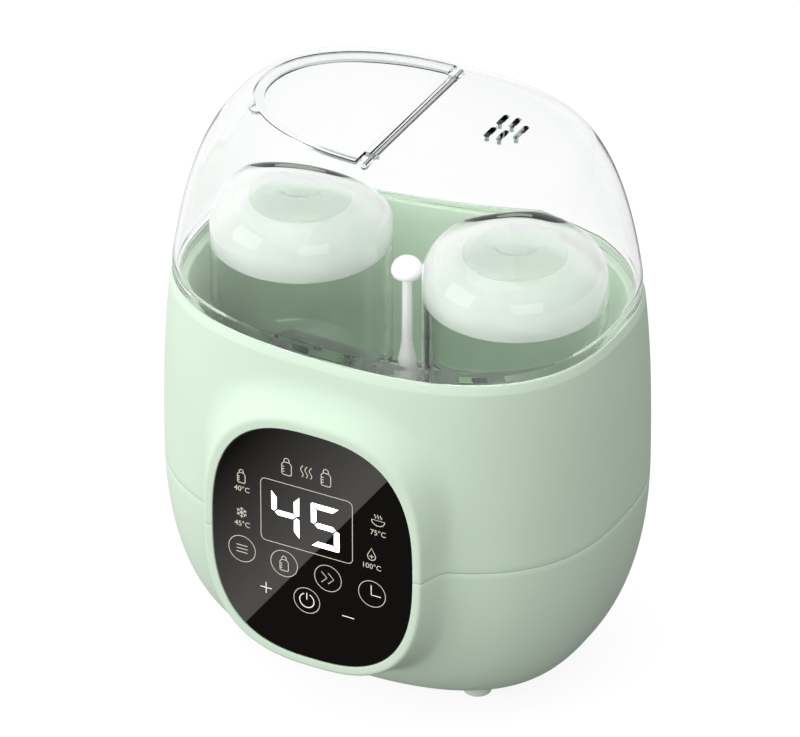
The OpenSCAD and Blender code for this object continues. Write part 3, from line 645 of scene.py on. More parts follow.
def make_lower_housing():
    rows = spaced(PARTING_Z - SEAM - EDGE, 13.0, 26)
    low_z = spaced(13.0, BOTTOM_Z, 9, 0.8)[1:]
    floor_z = BOTTOM_Z + WALL
    tail = [(body_in(z), z) for z in low_z]
    edge_in = body_in(BOTTOM_Z)
    tail += [(edge_in + 3, BOTTOM_Z), (edge_in + 20, BOTTOM_Z)]
    obj_tail = tail + [(edge_in + 20, floor_z), (body_in(floor_z) + WALL + 1.5, floor_z),
        (body_in(9) + WALL, 9)]
    obj = housing("lower_housing_shell", -1, rows, obj_tail)
    inset = edge_in + 20
    middle = [(x, y) for x, y, _ in body_ring(0, inset)]
    plug = flat_curve("bottom_plate", [middle], WALL)
    moved(plug, at(0, 0, BOTTOM_Z + WALL / 2))
    obj = joined("lower_housing_shell", [obj, plug])
    bm = bmesh.new()
    bm.from_mesh(obj.data)
    bmesh.ops.remove_doubles(bm, verts=bm.verts, dist=0.01 * MM)
    inside = [f for f in bm.faces if abs(f.normal.z) < 0.1 and all(
        BOTTOM_Z - 0.1 < v.co.z / MM < floor_z + 0.1 for v in f.verts) and all(
        abs(math.hypot(v.co.x, v.co.y - BODY_Y * MM)) < 50 * MM for v in f.verts)]
    bmesh.ops.delete(bm, geom=inside, context="FACES")
    bmesh.ops.recalc_face_normals(bm, faces=bm.faces)
    bm.to_mesh(obj.data)
    bm.free()

    cutters = []
    for sx in (-1, 1):
        for sy in (-1, 1):
            cutters.append(rod("bore", 3.6, (sx * 66, sy * 26, -1), (sx * 66, sy * 26, 30)))
            cutters.append(rod("seat", 6.6, (sx * 53, sy * 33, -1), (sx * 53, sy * 33, 4.3)))
    inlet_low, inlet_high = size("power_inlet")
    gap = 0.15
    hole = block(
        "hole",
        (inlet_low[0] + 2.5 - gap, 55, inlet_low[2] - gap),
        (inlet_high[0] - 2.5 + gap, 95, inlet_high[2] + gap),
    )
    obj = boolean(obj, joined("cuts", cutters + [hole]))
    return piece(obj, "base", GREEN, ["lower_housing"])


def make_screw_towers():
    """Tubes inside the base that hold the housing screws, and the standoffs of the power board."""
    parts = []
    for sx in (-1, 1):
        for sy in (-1, 1):
            wall = rounded([(1.8, 70, 0), (1.8, 84, 0.2), (5, 84, 0.5), (5, 6, 0.2), (3.6, 6, 0.2),
                (3.6, 70, 0)])
            parts.append(lathe("tower", wall, (sx * 66, sy * 26), 40, closed=True))
            post = rounded([(1.2, 20, 0.1), (3.2, 20, 0.4), (3.2, 5, 0), (1.2, 5, 0)])
            parts.append(lathe("standoff", post, (sx * 38, sy * 27), 32, closed=True))
    obj = joined("screw_towers", parts)
    return piece(obj, "base", GREEN)


def level_ring(half, z):
    return [(x, y, z) for x, y in oval(half, half - (HALF_W - HALF_D), PLAN_POWER, RING_N)]


def make_liner():
    floor = rack_low[2] - 0.3
    top = liner_high[2]
    thick = 2.5
    wall = rounded([
        (86, floor, 0), (92.2, floor + 0.4, 9), (95.6, floor + 20, 40), (97.0, top - 12, 30), (97.4,
            top - 1, 1),
        (98.2, top, 0.6), (102.1, top, 0.5), (102.1, top - 2, 0.5), (99.8, top - 2, 0.6), (99.4, top - 12,
            20),
        (97.9, floor + 20, 30), (95.2, floor - 1.5, 9), (88, floor - thick, 0),
    ], step=8)
    hole = 40.0
    skin = Skin()
    rows = [level_ring(half, z) for half, z in wall]

    def blended(share, z):
        return [
            (x * (1 - share) + hole * share * math.cos(a), y * (1 - share) + hole * share * math.sin(a), z)
            for (x, y, _), a in zip(rows[0], [2 * math.pi * i / RING_N - math.pi / 2
                for i in range(RING_N)])
        ]

    top_rows = [blended(s, floor) for s in (1.0, 0.985, 0.6, 0.3, 0.1)]
    low_rows = [blended(s, floor - thick) for s in (0.1, 0.5, 1.0)]
    top_rows[0] = [(x, y, floor - 0.3) for x, y, z in blended(1.0, floor)]
    skin.rings(top_rows + rows + low_rows, looped=True)
    obj = new_object("chamber_liner_shell", skin.mesh("chamber_liner_shell"))
    return piece(obj, "base", LINER_GREEN, ["chamber_liner"])


# ---------- Control panel ----------


def panel_outline(grow, count=200):
    return [(x, z + PANEL_Z) for x, z in oval(PANEL_HALF_W + grow, PANEL_HALF_H + grow, PANEL_POWER, count)]


def on_panel(obj, depth):
    """Stands a flat XY shape up on the front, with its middle at the given depth y."""
    return moved(obj, at(0, depth, 0) @ TO_FRONT)


def make_glass():
    thickness = GLASS_BACK_Y - GLASS_Y
    obj = flat_curve("panel_glass", [panel_outline(0)], thickness, bevel=0.35, resolution=4)
    on_panel(obj, (GLASS_Y + GLASS_BACK_Y) / 2)
    return piece(obj, "base", BLACK_GLASS, ["control_panel"], sharp=60)


def arc_points(x, y, rx, ry, degrees):
    """Points of an oval round (x, y), at the given angles."""
    return [(x + rx * math.cos(math.radians(a)), y + ry * math.sin(math.radians(a))) for a in degrees]


def circle(x, z, r, count=64, start=0, end=360):
    span = math.radians(end - start)
    closed = abs(end - start) >= 360
    n = count if closed else count + 1
    return [(x + r * math.cos(math.radians(start) + span * k / count),
        z + r * math.sin(math.radians(start) + span * k / count)) for k in range(n)], closed


def rounded_box(x0, z0, x1, z1, r):
    return rounded([(x0, z0, r), (x1, z0, r), (x1, z1, r), (x0, z1, r)], closed=True), True


def lines(name, strokes, width, material):
    """Printed strokes on the glass, as fine raised lines."""
    curve = bpy.data.curves.new(name, "CURVE")
    curve.dimensions = "3D"
    curve.bevel_depth = width / 2 * MM
    curve.bevel_resolution = 1
    curve.use_fill_caps = True
    for points, closed in strokes:
        spline = curve.splines.new("POLY")
        spline.points.add(len(points) - 1)
        for point, (x, z) in zip(spline.points, points):
            point.co = (x * MM, z * MM, 0, 1)
        spline.use_cyclic_u = closed
    obj = baked(new_object(name, curve))
    flat = Matrix.Diagonal((1, 1, 0.25, 1))
    moved(obj, flat)
    on_panel(obj, GLASS_Y - 0.01)
    return piece(obj, "base", material)


def written(name, text, x, z, height, material):
    """Numbers, centred on (x, z), from the built-in font."""
    curve = bpy.data.curves.new(name, "FONT")
    curve.body = text
    curve.size = height * 1.4 * MM
    curve.align_x = "CENTER"
    curve.align_y = "CENTER"
    curve.extrude = 0.02 * MM
    curve.resolution_u = 4
    obj = baked(new_object(name, curve))
    moved(obj, Matrix.Translation((x * MM, z * MM, 0)))
    on_panel(obj, GLASS_Y - 0.03)
    return piece(obj, "base", material)


KEY_R = 6.7
KEYS = ((-35.3, 81.9), (-14.1, 80.4), (7.9, 79.2), (29.9, 77.7))
PLUS, POWER, MINUS = (-23.3, 65.0), (-2.8, 64.3), (17.9, 64.0)


def bottle_icon(x, z, s):
    body = rounded([(-2 * s, -3.6 * s, 0.8 * s), (2 * s, -3.6 * s, 0.8 * s), (2 * s, 0.9 * s, 1 * s),
                    (1.1 * s, 1.9 * s, 0.2 * s), (-1.1 * s, 1.9 * s, 0.2 * s), (-2 * s, 0.9 * s,
                        1 * s)], closed=True)
    teat = rounded([(-1.1 * s, 1.9 * s, 0), (-1.0 * s, 3.6 * s, 1.0 * s), (1.0 * s, 3.6 * s, 1.0 * s),
        (1.1 * s, 1.9 * s, 0)])
    marks = [([(-2 * s, k * s), (-0.9 * s, k * s)], False) for k in (-2.3, -1.2, -0.1)]
    strokes = [(body, True), (teat, False)] + marks
    return [([(x + u, z + v) for u, v in points], closed) for points, closed in strokes]


def wave_icon(x, z, s):
    strokes = []
    for k in (-1, 0, 1):
        strokes.append(([(x + 1.6 * s * k + 0.5 * s * math.sin(t * 0.9), z + s * (t * 0.55 - 2.2))
            for t in range(9)], False))
    return strokes


def flake_icon(x, z, s):
    strokes = []
    for k in range(3):
        a = math.radians(60 * k + 30)
        c, v = math.cos(a) * 2.6 * s, math.sin(a) * 2.6 * s
        strokes.append(([(x - c, z - v), (x + c, z + v)], False))
    for k in range(6):
        a = math.radians(60 * k + 30)
        tip = [(x + 2.2 * s * math.cos(a + da) * f, z + 2.2 * s * math.sin(a + da) * f) for da,
            f in ((-0.35, 1), (0, 0.66), (0.35, 1))]
        strokes.append((tip, False))
    return strokes


def bowl_icon(x, z, s):
    bowl = arc_points(x, z + 0.3 * s, 3 * s, 2.6 * s, range(180, 361, 20))
    steam = [([(x + 1.3 * s * k + 0.35 * s * math.sin(t * 1.2), z + s * (1.2 + t * 0.35))
        for t in range(6)], False) for k in (-1, 0, 1)]
    return [(bowl, True)] + steam


def drop_icon(x, z, s):
    side = arc_points(x, z - 0.8 * s, 1.9 * s, 1.9 * s, range(150, 391, 16))
    return [([(x, z + 3.2 * s)] + side, True), ([(x - 0.9 * s, z - 0.9 * s), (x + 0.9 * s, z - 0.9 * s)],
        False), ([(x, z - 1.8 * s), (x, z)], False)]


def make_panel_print():
    rings = [circle(x, z, KEY_R) for x, z in KEYS]
    rings.append(circle(*POWER, 6.5))
    rings.append(rounded_box(-25.6, 90.2, 20.2, 122.6, 2.6))
    lines("key_rings", rings, 0.34, PRINT)

    (menu_x, menu_z), (milk_x, milk_z), (fast_x, fast_z), (clock_x, clock_z) = KEYS
    marks = [([(menu_x - 2.8, menu_z + 1.8 * k), (menu_x + 2.8, menu_z + 1.8 * k)], False)
        for k in (-1, 0, 1)]
    marks += bottle_icon(milk_x, milk_z, 1.05)
    for k in (-1.7, 1.7):
        chevron = [(fast_x + k - 1.6, fast_z + 2.8), (fast_x + k + 1.2, fast_z),
            (fast_x + k - 1.6, fast_z - 2.8)]
        marks.append((chevron, False))
    marks += bottle_icon(-35.3, 120.0, 0.95) + flake_icon(-35.3, 101.0, 1.05)
    marks += bowl_icon(33.0, 116.6, 1.1) + drop_icon(29.7, 98.2, 1.05)
    marks += bottle_icon(-12.5, 131.6, 1.2) + wave_icon(-2.7, 131.6, 1.35) + bottle_icon(7.1, 131.6, 1.2)
    lines("mode_marks", marks, 0.4, PRINT)

    icons = [([(clock_x - 0.4, clock_z + 4.4), (clock_x - 0.4, clock_z - 0.6),
        (clock_x + 4.4, clock_z - 0.6)], False)]
    power_x, power_z = POWER
    icons.append(circle(power_x, power_z, 3.6, 48, 112, 428))
    icons.append(([(power_x, power_z + 4.0), (power_x, power_z + 0.5)], False))
    (plus_x, plus_z), (minus_x, minus_z) = PLUS, MINUS
    icons.append(([(plus_x - 2.9, plus_z), (plus_x + 2.9, plus_z)], False))
    icons.append(([(plus_x, plus_z + 2.9), (plus_x, plus_z - 2.9)], False))
    icons.append(([(minus_x - 3.0, minus_z - 2.2), (minus_x + 3.0, minus_z - 2.2)], False))
    lines("key_icons", icons, 0.48, ICON)

    written("temperature_40", "40°C", -35.0, 113.3, 2.7, PRINT)
    written("temperature_45", "45°C", -35.0, 95.0, 2.7, PRINT)
    written("temperature_75", "75°C", 33.0, 110.2, 2.7, PRINT)
    written("temperature_100", "100°C", 29.7, 92.0, 2.7, PRINT)


# The seven bars of a digit: a top, b and c right, d bottom, e and f left, g middle
DIGIT_BARS = {"4": "fgbc", "5": "afgcd"}


def bar(points, inset):
    """A bar's corners drawn together a little, so that neighbouring bars leave a gap."""
    cx = sum(p[0] for p in points) / len(points)
    cz = sum(p[1] for p in points) / len(points)
    result = []
    for px, pz in points:
        length = math.hypot(px - cx, pz - cz)
        result.append((px - (px - cx) / length * inset, pz - (pz - cz) / length * inset))
    return result


def digit(text, x0, x1, z0, z1, slant):
    """Outlines of a seven-bar digit in a box."""
    t = 3.0
    zm = (z0 + z1) / 2
    h = t / 2
    shapes = {
        "a": [(x0, z1), (x1, z1), (x1 - t, z1 - t), (x0 + t, z1 - t)],
        "d": [(x0, z0), (x1, z0), (x1 - t, z0 + t), (x0 + t, z0 + t)],
        "f": [(x0, z1), (x0 + t, z1 - t), (x0 + t, zm + h), (x0 + h, zm), (x0, zm + h * 0.4)],
        "e": [(x0, z0), (x0 + t, z0 + t), (x0 + t, zm - h), (x0 + h, zm), (x0, zm - h * 0.4)],
        "b": [(x1, z1), (x1 - t, z1 - t), (x1 - t, zm + h), (x1 - h, zm), (x1, zm + h * 0.4)],
        "c": [(x1, z0), (x1 - t, z0 + t), (x1 - t, zm - h), (x1 - h, zm), (x1, zm - h * 0.4)],
        "g": [(x0 + h, zm), (x0 + t, zm + h), (x1 - t, zm + h), (x1 - h, zm), (x1 - t, zm - h),
            (x0 + t, zm - h)],
    }
    outlines = []
    for key in DIGIT_BARS[text]:
        points = bar(shapes[key], 0.45)
        outlines.append([(x + (z - zm) * slant, z) for x, z in points])
    return outlines


def make_digits():
    outlines = digit("4", -20.4, -6.2, 95.4, 117.6, 0.0) + digit("5", -0.6, 13.8, 94.2, 116.8, 0.0)
    obj = flat_curve("display_digits", outlines, 0.12, bevel=0.05, resolution=1)
    on_panel(obj, GLASS_Y - 0.03)
    return piece(obj, "base", DIGIT, sharp=30)


# ---------- Lid ----------

LID_WALL = 2.2
LID_TOP_T = 3.6
SHOULDER_FLAT = 40.0
FLAP_T = flap_high[2] - (LID_TOP - 1.7)
FLAP_POWER = 2.1
FLAP_REACH = 71.5
FLAP_HALF_D = 47.3
BARREL_HALF = 38.0
VENT_X, VENT_Y, VENT_PITCH, VENT_W = 45.8, 8.3, 6.0, 3.0


def half_oval(a, b, side_x, count=72):
    """D shape: the left half of a superellipse with a straight side at side_x, front to back."""
    points = []
    for k in range(count + 1):
        t = math.pi / 2 + math.pi * k / count
        c, s = math.cos(t), math.sin(t)
        x = -a * abs(c) ** (2 / FLAP_POWER)
        y = b * math.copysign(abs(s) ** (2 / FLAP_POWER), s)
        points.append((side_x if k in (0, count) else x, y))
    return points


def tab_place():
    angle = math.radians(213)
    c, s = math.cos(angle), math.sin(angle)
    return (FLAP_REACH * math.copysign(abs(c) ** (2 / FLAP_POWER), c),
            FLAP_HALF_D * math.copysign(abs(s) ** (2 / FLAP_POWER), s))


def prism(name, outline, low, high, bevel=0.0):
    obj = flat_curve(name, [outline], high - low, bevel)
    return moved(obj, at(0, 0, (low + high) / 2))


def slot_outline(x, y, length, width):
    r = width / 2
    h = length / 2 - r
    top = arc_points(x, y + h, r, r, range(0, 181, 15))
    low = arc_points(x, y - h, r, r, range(180, 361, 15))
    return top + low


def vent_outlines():
    outlines = []
    for i in (-1, 0):
        for side in (-1, 1):
            outlines.append(slot_outline(VENT_X + i * VENT_PITCH, VENT_Y + side * 6.1, 9.5, VENT_W))
    outlines.append(slot_outline(VENT_X + VENT_PITCH, VENT_Y, 12.5, VENT_W))
    return outlines


def make_lid():
    foot = RIM_Z + 0.2
    top_start = 257.0
    outside = [(body_in(foot) + 1.1, foot), (body_in(foot) + 0.95, foot + 0.25),
        (body_in(foot + 1) + 0.55, foot + 1.0)]
    outside += [(body_in(z) + max(0.0, 0.55 - (z - foot - 1) * 0.09), z)
        for z in spaced(foot + 2, top_start, 40)]
    outside += shoulder(top_start, 0, LID_TOP, SHOULDER_FLAT)
    inner_top = LID_TOP - LID_TOP_T
    inside_end = top_start - 1.5
    inside = [(body_in(z) + LID_WALL, z) for z in spaced(192, inside_end, 34)]
    inside += shoulder(inside_end, LID_WALL, inner_top, SHOULDER_FLAT + 0.5)
    skirt = WALL + 0.3
    below = rounded([
        (body_in(192) + LID_WALL, 192, 0),
        (body_in(190) + LID_WALL + 0.2, 190, 2),
        (body_in(187.5) + LID_WALL + 1.4, 187.5, 2),
        (body_in(foot - 3.6) + skirt + 2, foot - 3.6, 0.6),
        (body_in(foot - 3.6) + skirt, foot - 3.6, 0.6),
        (body_in(foot) + skirt, foot, 0.3),
        (body_in(foot) + 1.1, foot, 0),
    ])
    path = inside[::-1] + below[1:-1] + outside
    skin = Skin()
    rows = [body_ring(z, m) for m, z in path]
    skin.rings(rows)
    skin.face(rows[0])
    skin.face(rows[-1])
    obj = new_object("lid_shell", skin.mesh("lid_shell"))

    seat_z = LID_TOP - FLAP_T - 0.1
    cuts = [
        prism("seat", half_oval(FLAP_REACH + 0.5, FLAP_HALF_D + 0.5, HINGE_X - 3), seat_z, LID_TOP + 3),
        prism("opening", half_oval(FLAP_REACH - 4.5, FLAP_HALF_D - 4.5, HINGE_X - 3), LID_TOP - 12,
            LID_TOP + 2),
        block("trough", (-0.5, -BARREL_HALF - 0.4, LID_TOP - 12),
            (HINGE_X + 3.4, BARREL_HALF + 0.4, LID_TOP + 2)),
    ]
    tab_x, tab_y = tab_place()
    cuts.append(rod("scoop", 3.9, (tab_x, tab_y, seat_z), (tab_x, tab_y, LID_TOP + 3), 40))
    for cutter in cuts:
        obj = boolean(obj, cutter)
    vents = flat_curve("vents", vent_outlines(), 20)
    obj = boolean(obj, moved(vents, at(0, 0, LID_TOP)))
    for side in (-1, 1):
        start, end = side * (BARREL_HALF + 0.4), side * (BARREL_HALF + 8.4)
        knuckle = rod("knuckle", 2.25, (HINGE_X, start, HINGE_Z), (HINGE_X, end, HINGE_Z), 40, edge=0.3)
        obj = boolean(obj, knuckle, "UNION")
    bore = rod("bore", 1.05, (HINGE_X, -BARREL_HALF - 8.2, HINGE_Z),
        (HINGE_X, BARREL_HALF + 8.2, HINGE_Z), 32)
    obj = boolean(obj, bore)
    obj.name = "lid_shell"
    # The upright edge faces round the lid's openings get the darker edge tint: painted shade for their
    # outlines.
    mark_edges(obj, lambda c, n: c.z > LID_TOP - 5 and abs(n.z) < 0.5 and inside_top(c), 1)
    return piece(obj, "lid", [LID_CLEAR, EDGE_SHADE_CLEAR], ["lid_dome"], sharp=32, level=True)


def shoulder(start, wall, top, flat_in):
    """Smooth (inset, z) curve from the side of the lid at a height to its flat top at an inset."""
    u0, v0 = body_in(start) + wall, start
    slope = (body_in(start) - body_in(start - 0.5)) / 0.5
    lift = (top - v0) * 0.62
    p1 = (u0 + slope * lift, v0 + lift)
    p2 = (flat_in - (flat_in - u0) * 0.42, top)
    points = []
    for k in range(1, 21):
        t = k / 20
        w = ((1 - t) ** 3, 3 * t * (1 - t) ** 2, 3 * t * t * (1 - t), t ** 3)
        points.append((
            w[0] * u0 + w[1] * p1[0] + w[2] * p2[0] + w[3] * flat_in,
            w[0] * v0 + w[1] * p1[1] + w[2] * p2[1] + w[3] * top,
        ))
    return points


def inside_top(c):
    """True for a point over the lid's flat top, away from its rounded shoulder."""
    m = body_in(LID_TOP) + 0.8
    a, b = HALF_W - m, HALF_D - m
    return (abs(c.x) / a) ** PLAN_POWER + (abs(c.y) / b) ** PLAN_POWER < 1


def mark_edges(obj, test, slot):
    """Gives the faces that pass a test, by centre and normal in the body's frame, another material slot."""
    for polygon in obj.data.polygons:
        centre = polygon.center / MM
        centre.y -= BODY_Y
        if test(centre, polygon.normal):
            polygon.material_index = slot


def make_flap():
    low, high = LID_TOP - FLAP_T, LID_TOP
    outline = half_oval(FLAP_REACH, FLAP_HALF_D, HINGE_X - 4)
    obj = prism("flap_plate", outline, low, high, bevel=0.22)
    tab_x, tab_y = tab_place()
    tab = rod("tab", 3.4, (tab_x, tab_y, low), (tab_x, tab_y, high), 40, edge=0.22)
    obj = boolean(obj, tab, "UNION")
    web = block("web", (HINGE_X - 5, -BARREL_HALF, low + 0.05), (HINGE_X, BARREL_HALF, high - 0.02))
    obj = boolean(obj, web, "UNION")
    barrel = rod("barrel", 2.3, (HINGE_X, -BARREL_HALF, HINGE_Z), (HINGE_X, BARREL_HALF, HINGE_Z), 48,
        edge=0.25)
    obj = boolean(obj, barrel, "UNION")
    bore = rod("bore", 1.05, (HINGE_X, -BARREL_HALF - 1, HINGE_Z), (HINGE_X, BARREL_HALF + 1, HINGE_Z), 32)
    obj = boolean(obj, bore)
    obj.name = "flap_panel"
    # The flap's upright edge faces get the darker edge tint: painted shade for its outline.
    mark_edges(obj, lambda c, n: abs(n.z) < 0.4 and c.x < HINGE_X - 4.2, 1)
    return piece(obj, "flap", [LID_CLEAR, EDGE_SHADE_CLEAR], ["lid_flap"], sharp=32, level=True)


# ---------- Rack, post and bottles ----------


def make_rack():
    top, half_w, half_d = rack_high[2], rack_high[0], rack_high[1] - BODY_Y
    thick, corner, neck_hole = 3.0, 4.0, 22.2
    outlines = [rounded([
        (-half_w, -half_d, corner), (half_w, -half_d, corner), (half_w, half_d, corner), (-half_w, half_d,
            corner),
    ], closed=True, step=6)]
    for x in BOTTLE_X:
        outlines.append(circle(x, 0, neck_hole, 96)[0])
    outlines.append(circle(0, 0, 3.05, 32)[0])
    for mx in (-1, 1):
        for my in (-1, 1):
            shape = [(-27.6, 32.6, 2.4), (-6.4, 32.6, 2.4), (-13.2, 17.4, 1.8), (-16.8, 17.4, 1.8)]
            outlines.append(rounded([(mx * u, my * v, r) for u, v, r in shape], closed=True))
    plate = flat_curve("rack_plate", outlines, thick, bevel=0.35, resolution=3)
    moved(plate, at(0, 0, top - thick / 2))
    parts = [plate]
    for sx in (-1, 1):
        for sy in (-1, 1):
            x, y = sx * (half_w - 5.5), sy * (half_d - 5.5)
            profile = rounded([(0, rack_low[2], 0), (3.2, rack_low[2], 0.8), (3.2, top - thick, 0),
                (0, top - thick, 0)])
            parts.append(lathe("leg", profile, (x, y), 40))
    return piece(joined("rack", parts), "rack", RACK_CLEAR, ["bottle_rack"])


def make_post():
    low, plate, top = post_low[2], rack_high[2], post_high[2]
    head_r, head_low = 7.4, post_high[2] - 9
    profile = rounded([
        (0, low, 0), (3.6, low, 0.3), (3.6, plate - 3.1, 0.2), (3.0, plate - 3.0, 0), (3.0, plate, 0),
        (4.8, plate, 0.4), (4.4, plate + 4, 4), (4.3, 142, 12), (2.5, 151, 12), (2.3, head_low - 0.5, 0.8),
        (head_r - 0.9, head_low, 1.0), (head_r, head_low + 1.6, 1.0),
    ])[:-1]
    start = profile[-1]
    profile += [
        (head_r * math.cos(t), head_low + 1.6 + (top - head_low - 1.6) * math.sin(t))
        for t in [math.radians(a) for a in range(4, 91, 6)] + [math.pi / 2]
        if head_low + 1.6 + (top - head_low - 1.6) * math.sin(t) > start[1]
    ]
    obj = lathe("rack_post_moulding", profile, (0, 0), 64)
    return piece(obj, "rack", WHITE, ["rack_post"], sharp=50)


left_low, left_high = size("bottle_left")
BOTTLE_R = (left_high[0] - left_low[0]) / 2
BOTTLE_X = ((left_low[0] + left_high[0]) / 2, -(left_low[0] + left_high[0]) / 2)
BOTTLE_TOP = left_high[2]
MOUTH_Z = left_low[2]


def make_bottle(name, node, body, x):
    top, r = BOTTLE_TOP, BOTTLE_R
    plate = rack_high[2]
    neck_r = 21.0
    outside = rounded([
        (neck_r - 3.4, MOUTH_Z, 0.6), (neck_r - 0.7, MOUTH_Z, 0.8), (neck_r - 0.7, plate - 5, 0.2),
        (neck_r, plate - 4.4, 0.3), (neck_r + 0.3, plate + 1.3, 4.0), (r, plate + 3.8, 14.0), (r, top,
            18.0),
        (11.5, top, 3), (9, top - 0.8, 3), (0.01, top - 0.9, 0),
    ], step=5)
    inner_r = r - 3.2
    dome_top = top - 7.8
    inside = rounded([
        (0.01, dome_top, 0), (inner_r, dome_top, 20), (inner_r, plate + 6, 14),
        (neck_r - 2.8, plate + 2.5, 4), (neck_r - 3.4, plate - 4, 1), (neck_r - 3.4, MOUTH_Z, 0.6),
    ], step=5)
    path = outside + inside[:-1]
    slots = [0] * len(outside)
    slots += [2 if z > dome_top - 0.35 else 1 if z > dome_top - 19 else 0 for _, z in inside[:-1]]
    obj = lathe(name, path, (x, 0), 128, slots=slots, closed=True)
    bm = bmesh.new()
    bm.from_mesh(obj.data)
    bmesh.ops.remove_doubles(bm, verts=bm.verts, dist=0.03 * MM)
    axis_faces = [f for f in bm.faces if all(math.hypot(v.co.x - x * MM,
        v.co.y - BODY_Y * MM) < 0.02 * MM for v in f.verts)]
    bmesh.ops.delete(bm, geom=axis_faces, context="FACES")
    bmesh.ops.recalc_face_normals(bm, faces=bm.faces)
    bm.to_mesh(obj.data)
    bm.free()
    return piece(obj, body, [BOTTLE_CLEAR, BOTTLE_DOME, BOTTLE_BASE], [node], sharp=60)


# ---------- Small pieces ----------


def make_feet():
    for node in ("foot_front_left", "foot_front_right", "foot_rear_left", "foot_rear_right"):
        low, high = size(node)
        r = (high[0] - low[0]) / 2
        x, y = (low[0] + high[0]) / 2, (low[1] + high[1]) / 2 - BODY_Y
        profile = rounded([
            (0, low[2] + 0.3, 0), (r - 2.4, low[2] + 0.3, 0.3), (r - 1.8, low[2], 0.4), (r, low[2] + 0.4,
                0.9),
            (r, high[2], 0), (0, high[2], 0),
        ])
        obj = lathe(node + "_pad", profile, (x, y), 56)
        piece(obj, "base", RUBBER, [node], sharp=45)


NODE_MATERIALS = {
    "heating_plate": HEATER, "plate_seal": SILICONE, "plate_clamp": STEEL, "heating_element": STEEL,
    "temperature_sensor": STEEL, "thermal_fuse": CERAMIC, "panel_frame": BLACK_PLASTIC, "control_board": BOARD,
    "display_module": BLACK_PLASTIC, "touch_pads": FOAM, "buzzer": BLACK_PLASTIC, "panel_ribbon": RIBBON,
    "power_board": BOARD, "transformer": WINDING, "relay": RELAY_BLUE, "capacitor": SLEEVE,
    "power_inlet": BLACK_PLASTIC, "inlet_pins": STEEL, "inlet_leads": LEAD_BROWN, "heater_leads": LEAD_WHITE,
    "sensor_leads": LEAD_RED, "housing_screws": STEEL, "clamp_screws": STEEL, "board_screws": STEEL,
    "panel_screws": STEEL, "hinge_pin": STEEL,
}


def dress_nodes():
    """Materials of the CAD nodes that are shown as they are."""
    for name, material in NODE_MATERIALS.items():
        obj = NODES[name]
        obj.data.materials.clear()
        obj.data.materials.append(material)


make_upper_housing()
make_lower_housing()
make_screw_towers()
make_liner()
make_glass()
make_panel_print()
make_digits()
make_lid()
make_flap()
make_rack()
make_post()
make_bottle("bottle_left_glass", "bottle_left", "left_bottle", BOTTLE_X[0])
make_bottle("bottle_right_glass", "bottle_right", "right_bottle", BOTTLE_X[1])
make_feet()
dress_nodes()


# ---------- Stage, light and camera ----------


def make_floor():
    mesh = bpy.data.meshes.new("floor")
    half = 6.0
    mesh.from_pydata([(-half, -half, 0), (half, -half, 0), (half, half, 0), (-half, half, 0)], [],
        [(0, 1, 2, 3)])
    floor = new_object("floor", mesh)
    paint = plastic("pale_floor", (0.16, 0.16, 0.16), rough=0.9, vary=0.004, grain=2, depth=0.002,
        specular=0.0)
    glow = paint.node_tree.nodes["Principled BSDF"]
    glow.inputs["Emission Color"].default_value = (1, 1, 1, 1)
    glow.inputs["Emission Strength"].default_value = 0.875
    mesh.materials.append(paint)
    floor.visible_glossy = False
    floor.visible_diffuse = False


def area_light(name, place, target, width, height, power, glossy=True):
    lamp = bpy.data.lights.new(name, "AREA")
    lamp.shape = "RECTANGLE"
    lamp.size = width
    lamp.size_y = height
    lamp.energy = power
    obj = new_object(name, lamp)
    obj.location = place
    obj.rotation_mode = "QUATERNION"
    obj.rotation_quaternion = (Vector(target) - Vector(place)).to_track_quat("-Z", "Y")
    obj.visible_glossy = glossy
    return obj


def make_panel_card(camera):
    """Soft box that only mirrors see: its straight edge gives the slanting reflection across the panel."""
    edge_a, edge_b = Vector((34.1, 0, 134.3)), Vector((-21.4, 0, 60.0))
    along = (edge_a - edge_b).normalized()
    across = Vector((-along.z, 0, along.x))
    corners = [edge_a + along * 120, edge_b - along * 120, edge_b - along * 120 + across * 130,
               edge_a + along * 120 + across * 130, edge_b - along * 120 - across * 160,
               edge_a + along * 120 - across * 160]
    far = []
    for corner in corners:
        spot = Vector((corner.x, GLASS_Y + BODY_Y, corner.z)) * MM
        ray = (spot - camera.location).normalized()
        far.append(spot + Vector((ray.x, -ray.y, ray.z)) * 0.3)
    mesh = bpy.data.meshes.new("panel_card")
    mesh.from_pydata(far, [], [(0, 1, 2, 3), (1, 0, 5, 4)])
    layer = mesh.uv_layers.new(name="across")
    for k, uv in enumerate(((0, 0), (0, 1), (1, 1), (1, 0), (1, 0), (1, 1), (1, 1), (1, 0))):
        layer.data[k].uv = uv
    card = new_object("panel_card", mesh)
    material, tree, main = shader("card_light")
    place = tree.nodes.new("ShaderNodeTexCoord")
    split = tree.nodes.new("ShaderNodeSeparateXYZ")
    ramp = tree.nodes.new("ShaderNodeValToRGB")
    tree.links.new(place.outputs["UV"], split.inputs["Vector"])
    tree.links.new(split.outputs["X"], ramp.inputs["Fac"])
    ramp.color_ramp.elements[0].position = 0.05
    ramp.color_ramp.elements[0].color = (1, 0.97, 0.94, 1)
    ramp.color_ramp.elements[1].position = 0.45
    ramp.color_ramp.elements[1].color = (0.04, 0.037, 0.034, 1)
    tree.links.new(ramp.outputs["Color"], main.inputs["Emission Color"])
    main.inputs["Base Color"].default_value = (0, 0, 0, 1)
    main.inputs["Emission Strength"].default_value = 1.5
    mesh.materials.append(material)
    card.visible_camera = False
    card.visible_diffuse = False
    card.visible_transmission = False
    card.visible_shadow = False


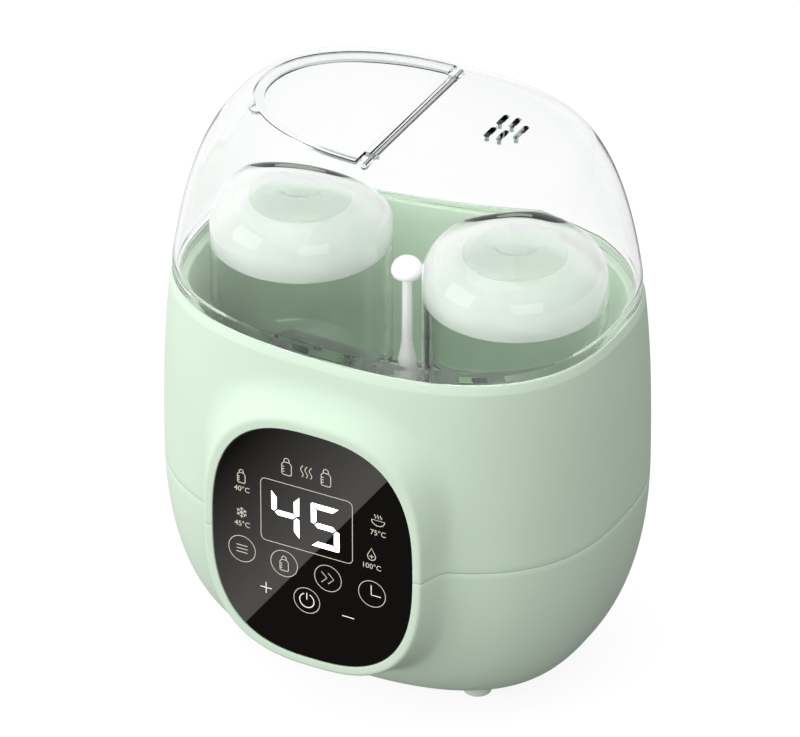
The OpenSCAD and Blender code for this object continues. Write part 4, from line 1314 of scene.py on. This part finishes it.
def make_world():
    """Soft sky: bright above and to the left, darker below and to the right."""
    world = bpy.data.worlds.new("studio")
    bpy.context.scene.world = world
    world.use_nodes = True
    tree = world.node_tree
    coordinates = tree.nodes.new("ShaderNodeTexCoord")
    ramp = tree.nodes.new("ShaderNodeValToRGB")
    lean = tree.nodes.new("ShaderNodeVectorMath")
    lean.operation = "DOT_PRODUCT"
    lean.inputs[1].default_value = (-0.6, 0.0, 0.8)
    tree.links.new(coordinates.outputs["Generated"], lean.inputs[0])
    height = tree.nodes.new("ShaderNodeMapRange")
    height.inputs["From Min"].default_value = -1.0
    height.inputs["From Max"].default_value = 1.0
    tree.links.new(lean.outputs["Value"], height.inputs["Value"])
    tree.links.new(height.outputs["Result"], ramp.inputs["Fac"])
    elements = ramp.color_ramp.elements
    elements[0].position = 0.24
    elements[0].color = (0.17, 0.17, 0.17, 1)
    elements[1].position = 0.62
    elements[1].color = (0.95, 0.95, 0.95, 1)
    tree.links.new(ramp.outputs["Color"], tree.nodes["Background"].inputs["Color"])
    tree.nodes["Background"].inputs["Strength"].default_value = 1.0


def make_camera():
    azimuth, elevation = math.radians(27.72), math.radians(31.77)
    distance = 4.0
    target = Vector((-3.66, BODY_Y, 135.45)) * MM
    back = Vector((
        math.sin(azimuth) * math.cos(elevation), -math.cos(azimuth) * math.cos(elevation), math.sin(elevation),
    ))
    data = bpy.data.cameras.new("camera")
    data.sensor_width = 36
    data.lens = 402.95
    data.clip_end = 50
    camera = new_object("camera", data)
    camera.location = target + back * distance
    camera.rotation_mode = "QUATERNION"
    camera.rotation_quaternion = (-back).to_track_quat("-Z", "Y")
    bpy.context.scene.camera = camera
    return camera


make_floor()
make_world()
area_light("key", (-1.6, -1.6, 0.85), (0, 0, 0.12), 1.6, 1.6, 23, glossy=False)
area_light("top", (-0.3, -0.5, 2.3), (0, 0, 0.15), 1.4, 1.4, 9, glossy=False)
area_light("fill", (1.6, -1.7, 0.9), (0, 0, 0.12), 1.6, 1.2, 15, glossy=False)
make_panel_card(make_camera())
bpy.context.scene.view_settings.view_transform = "Standard"
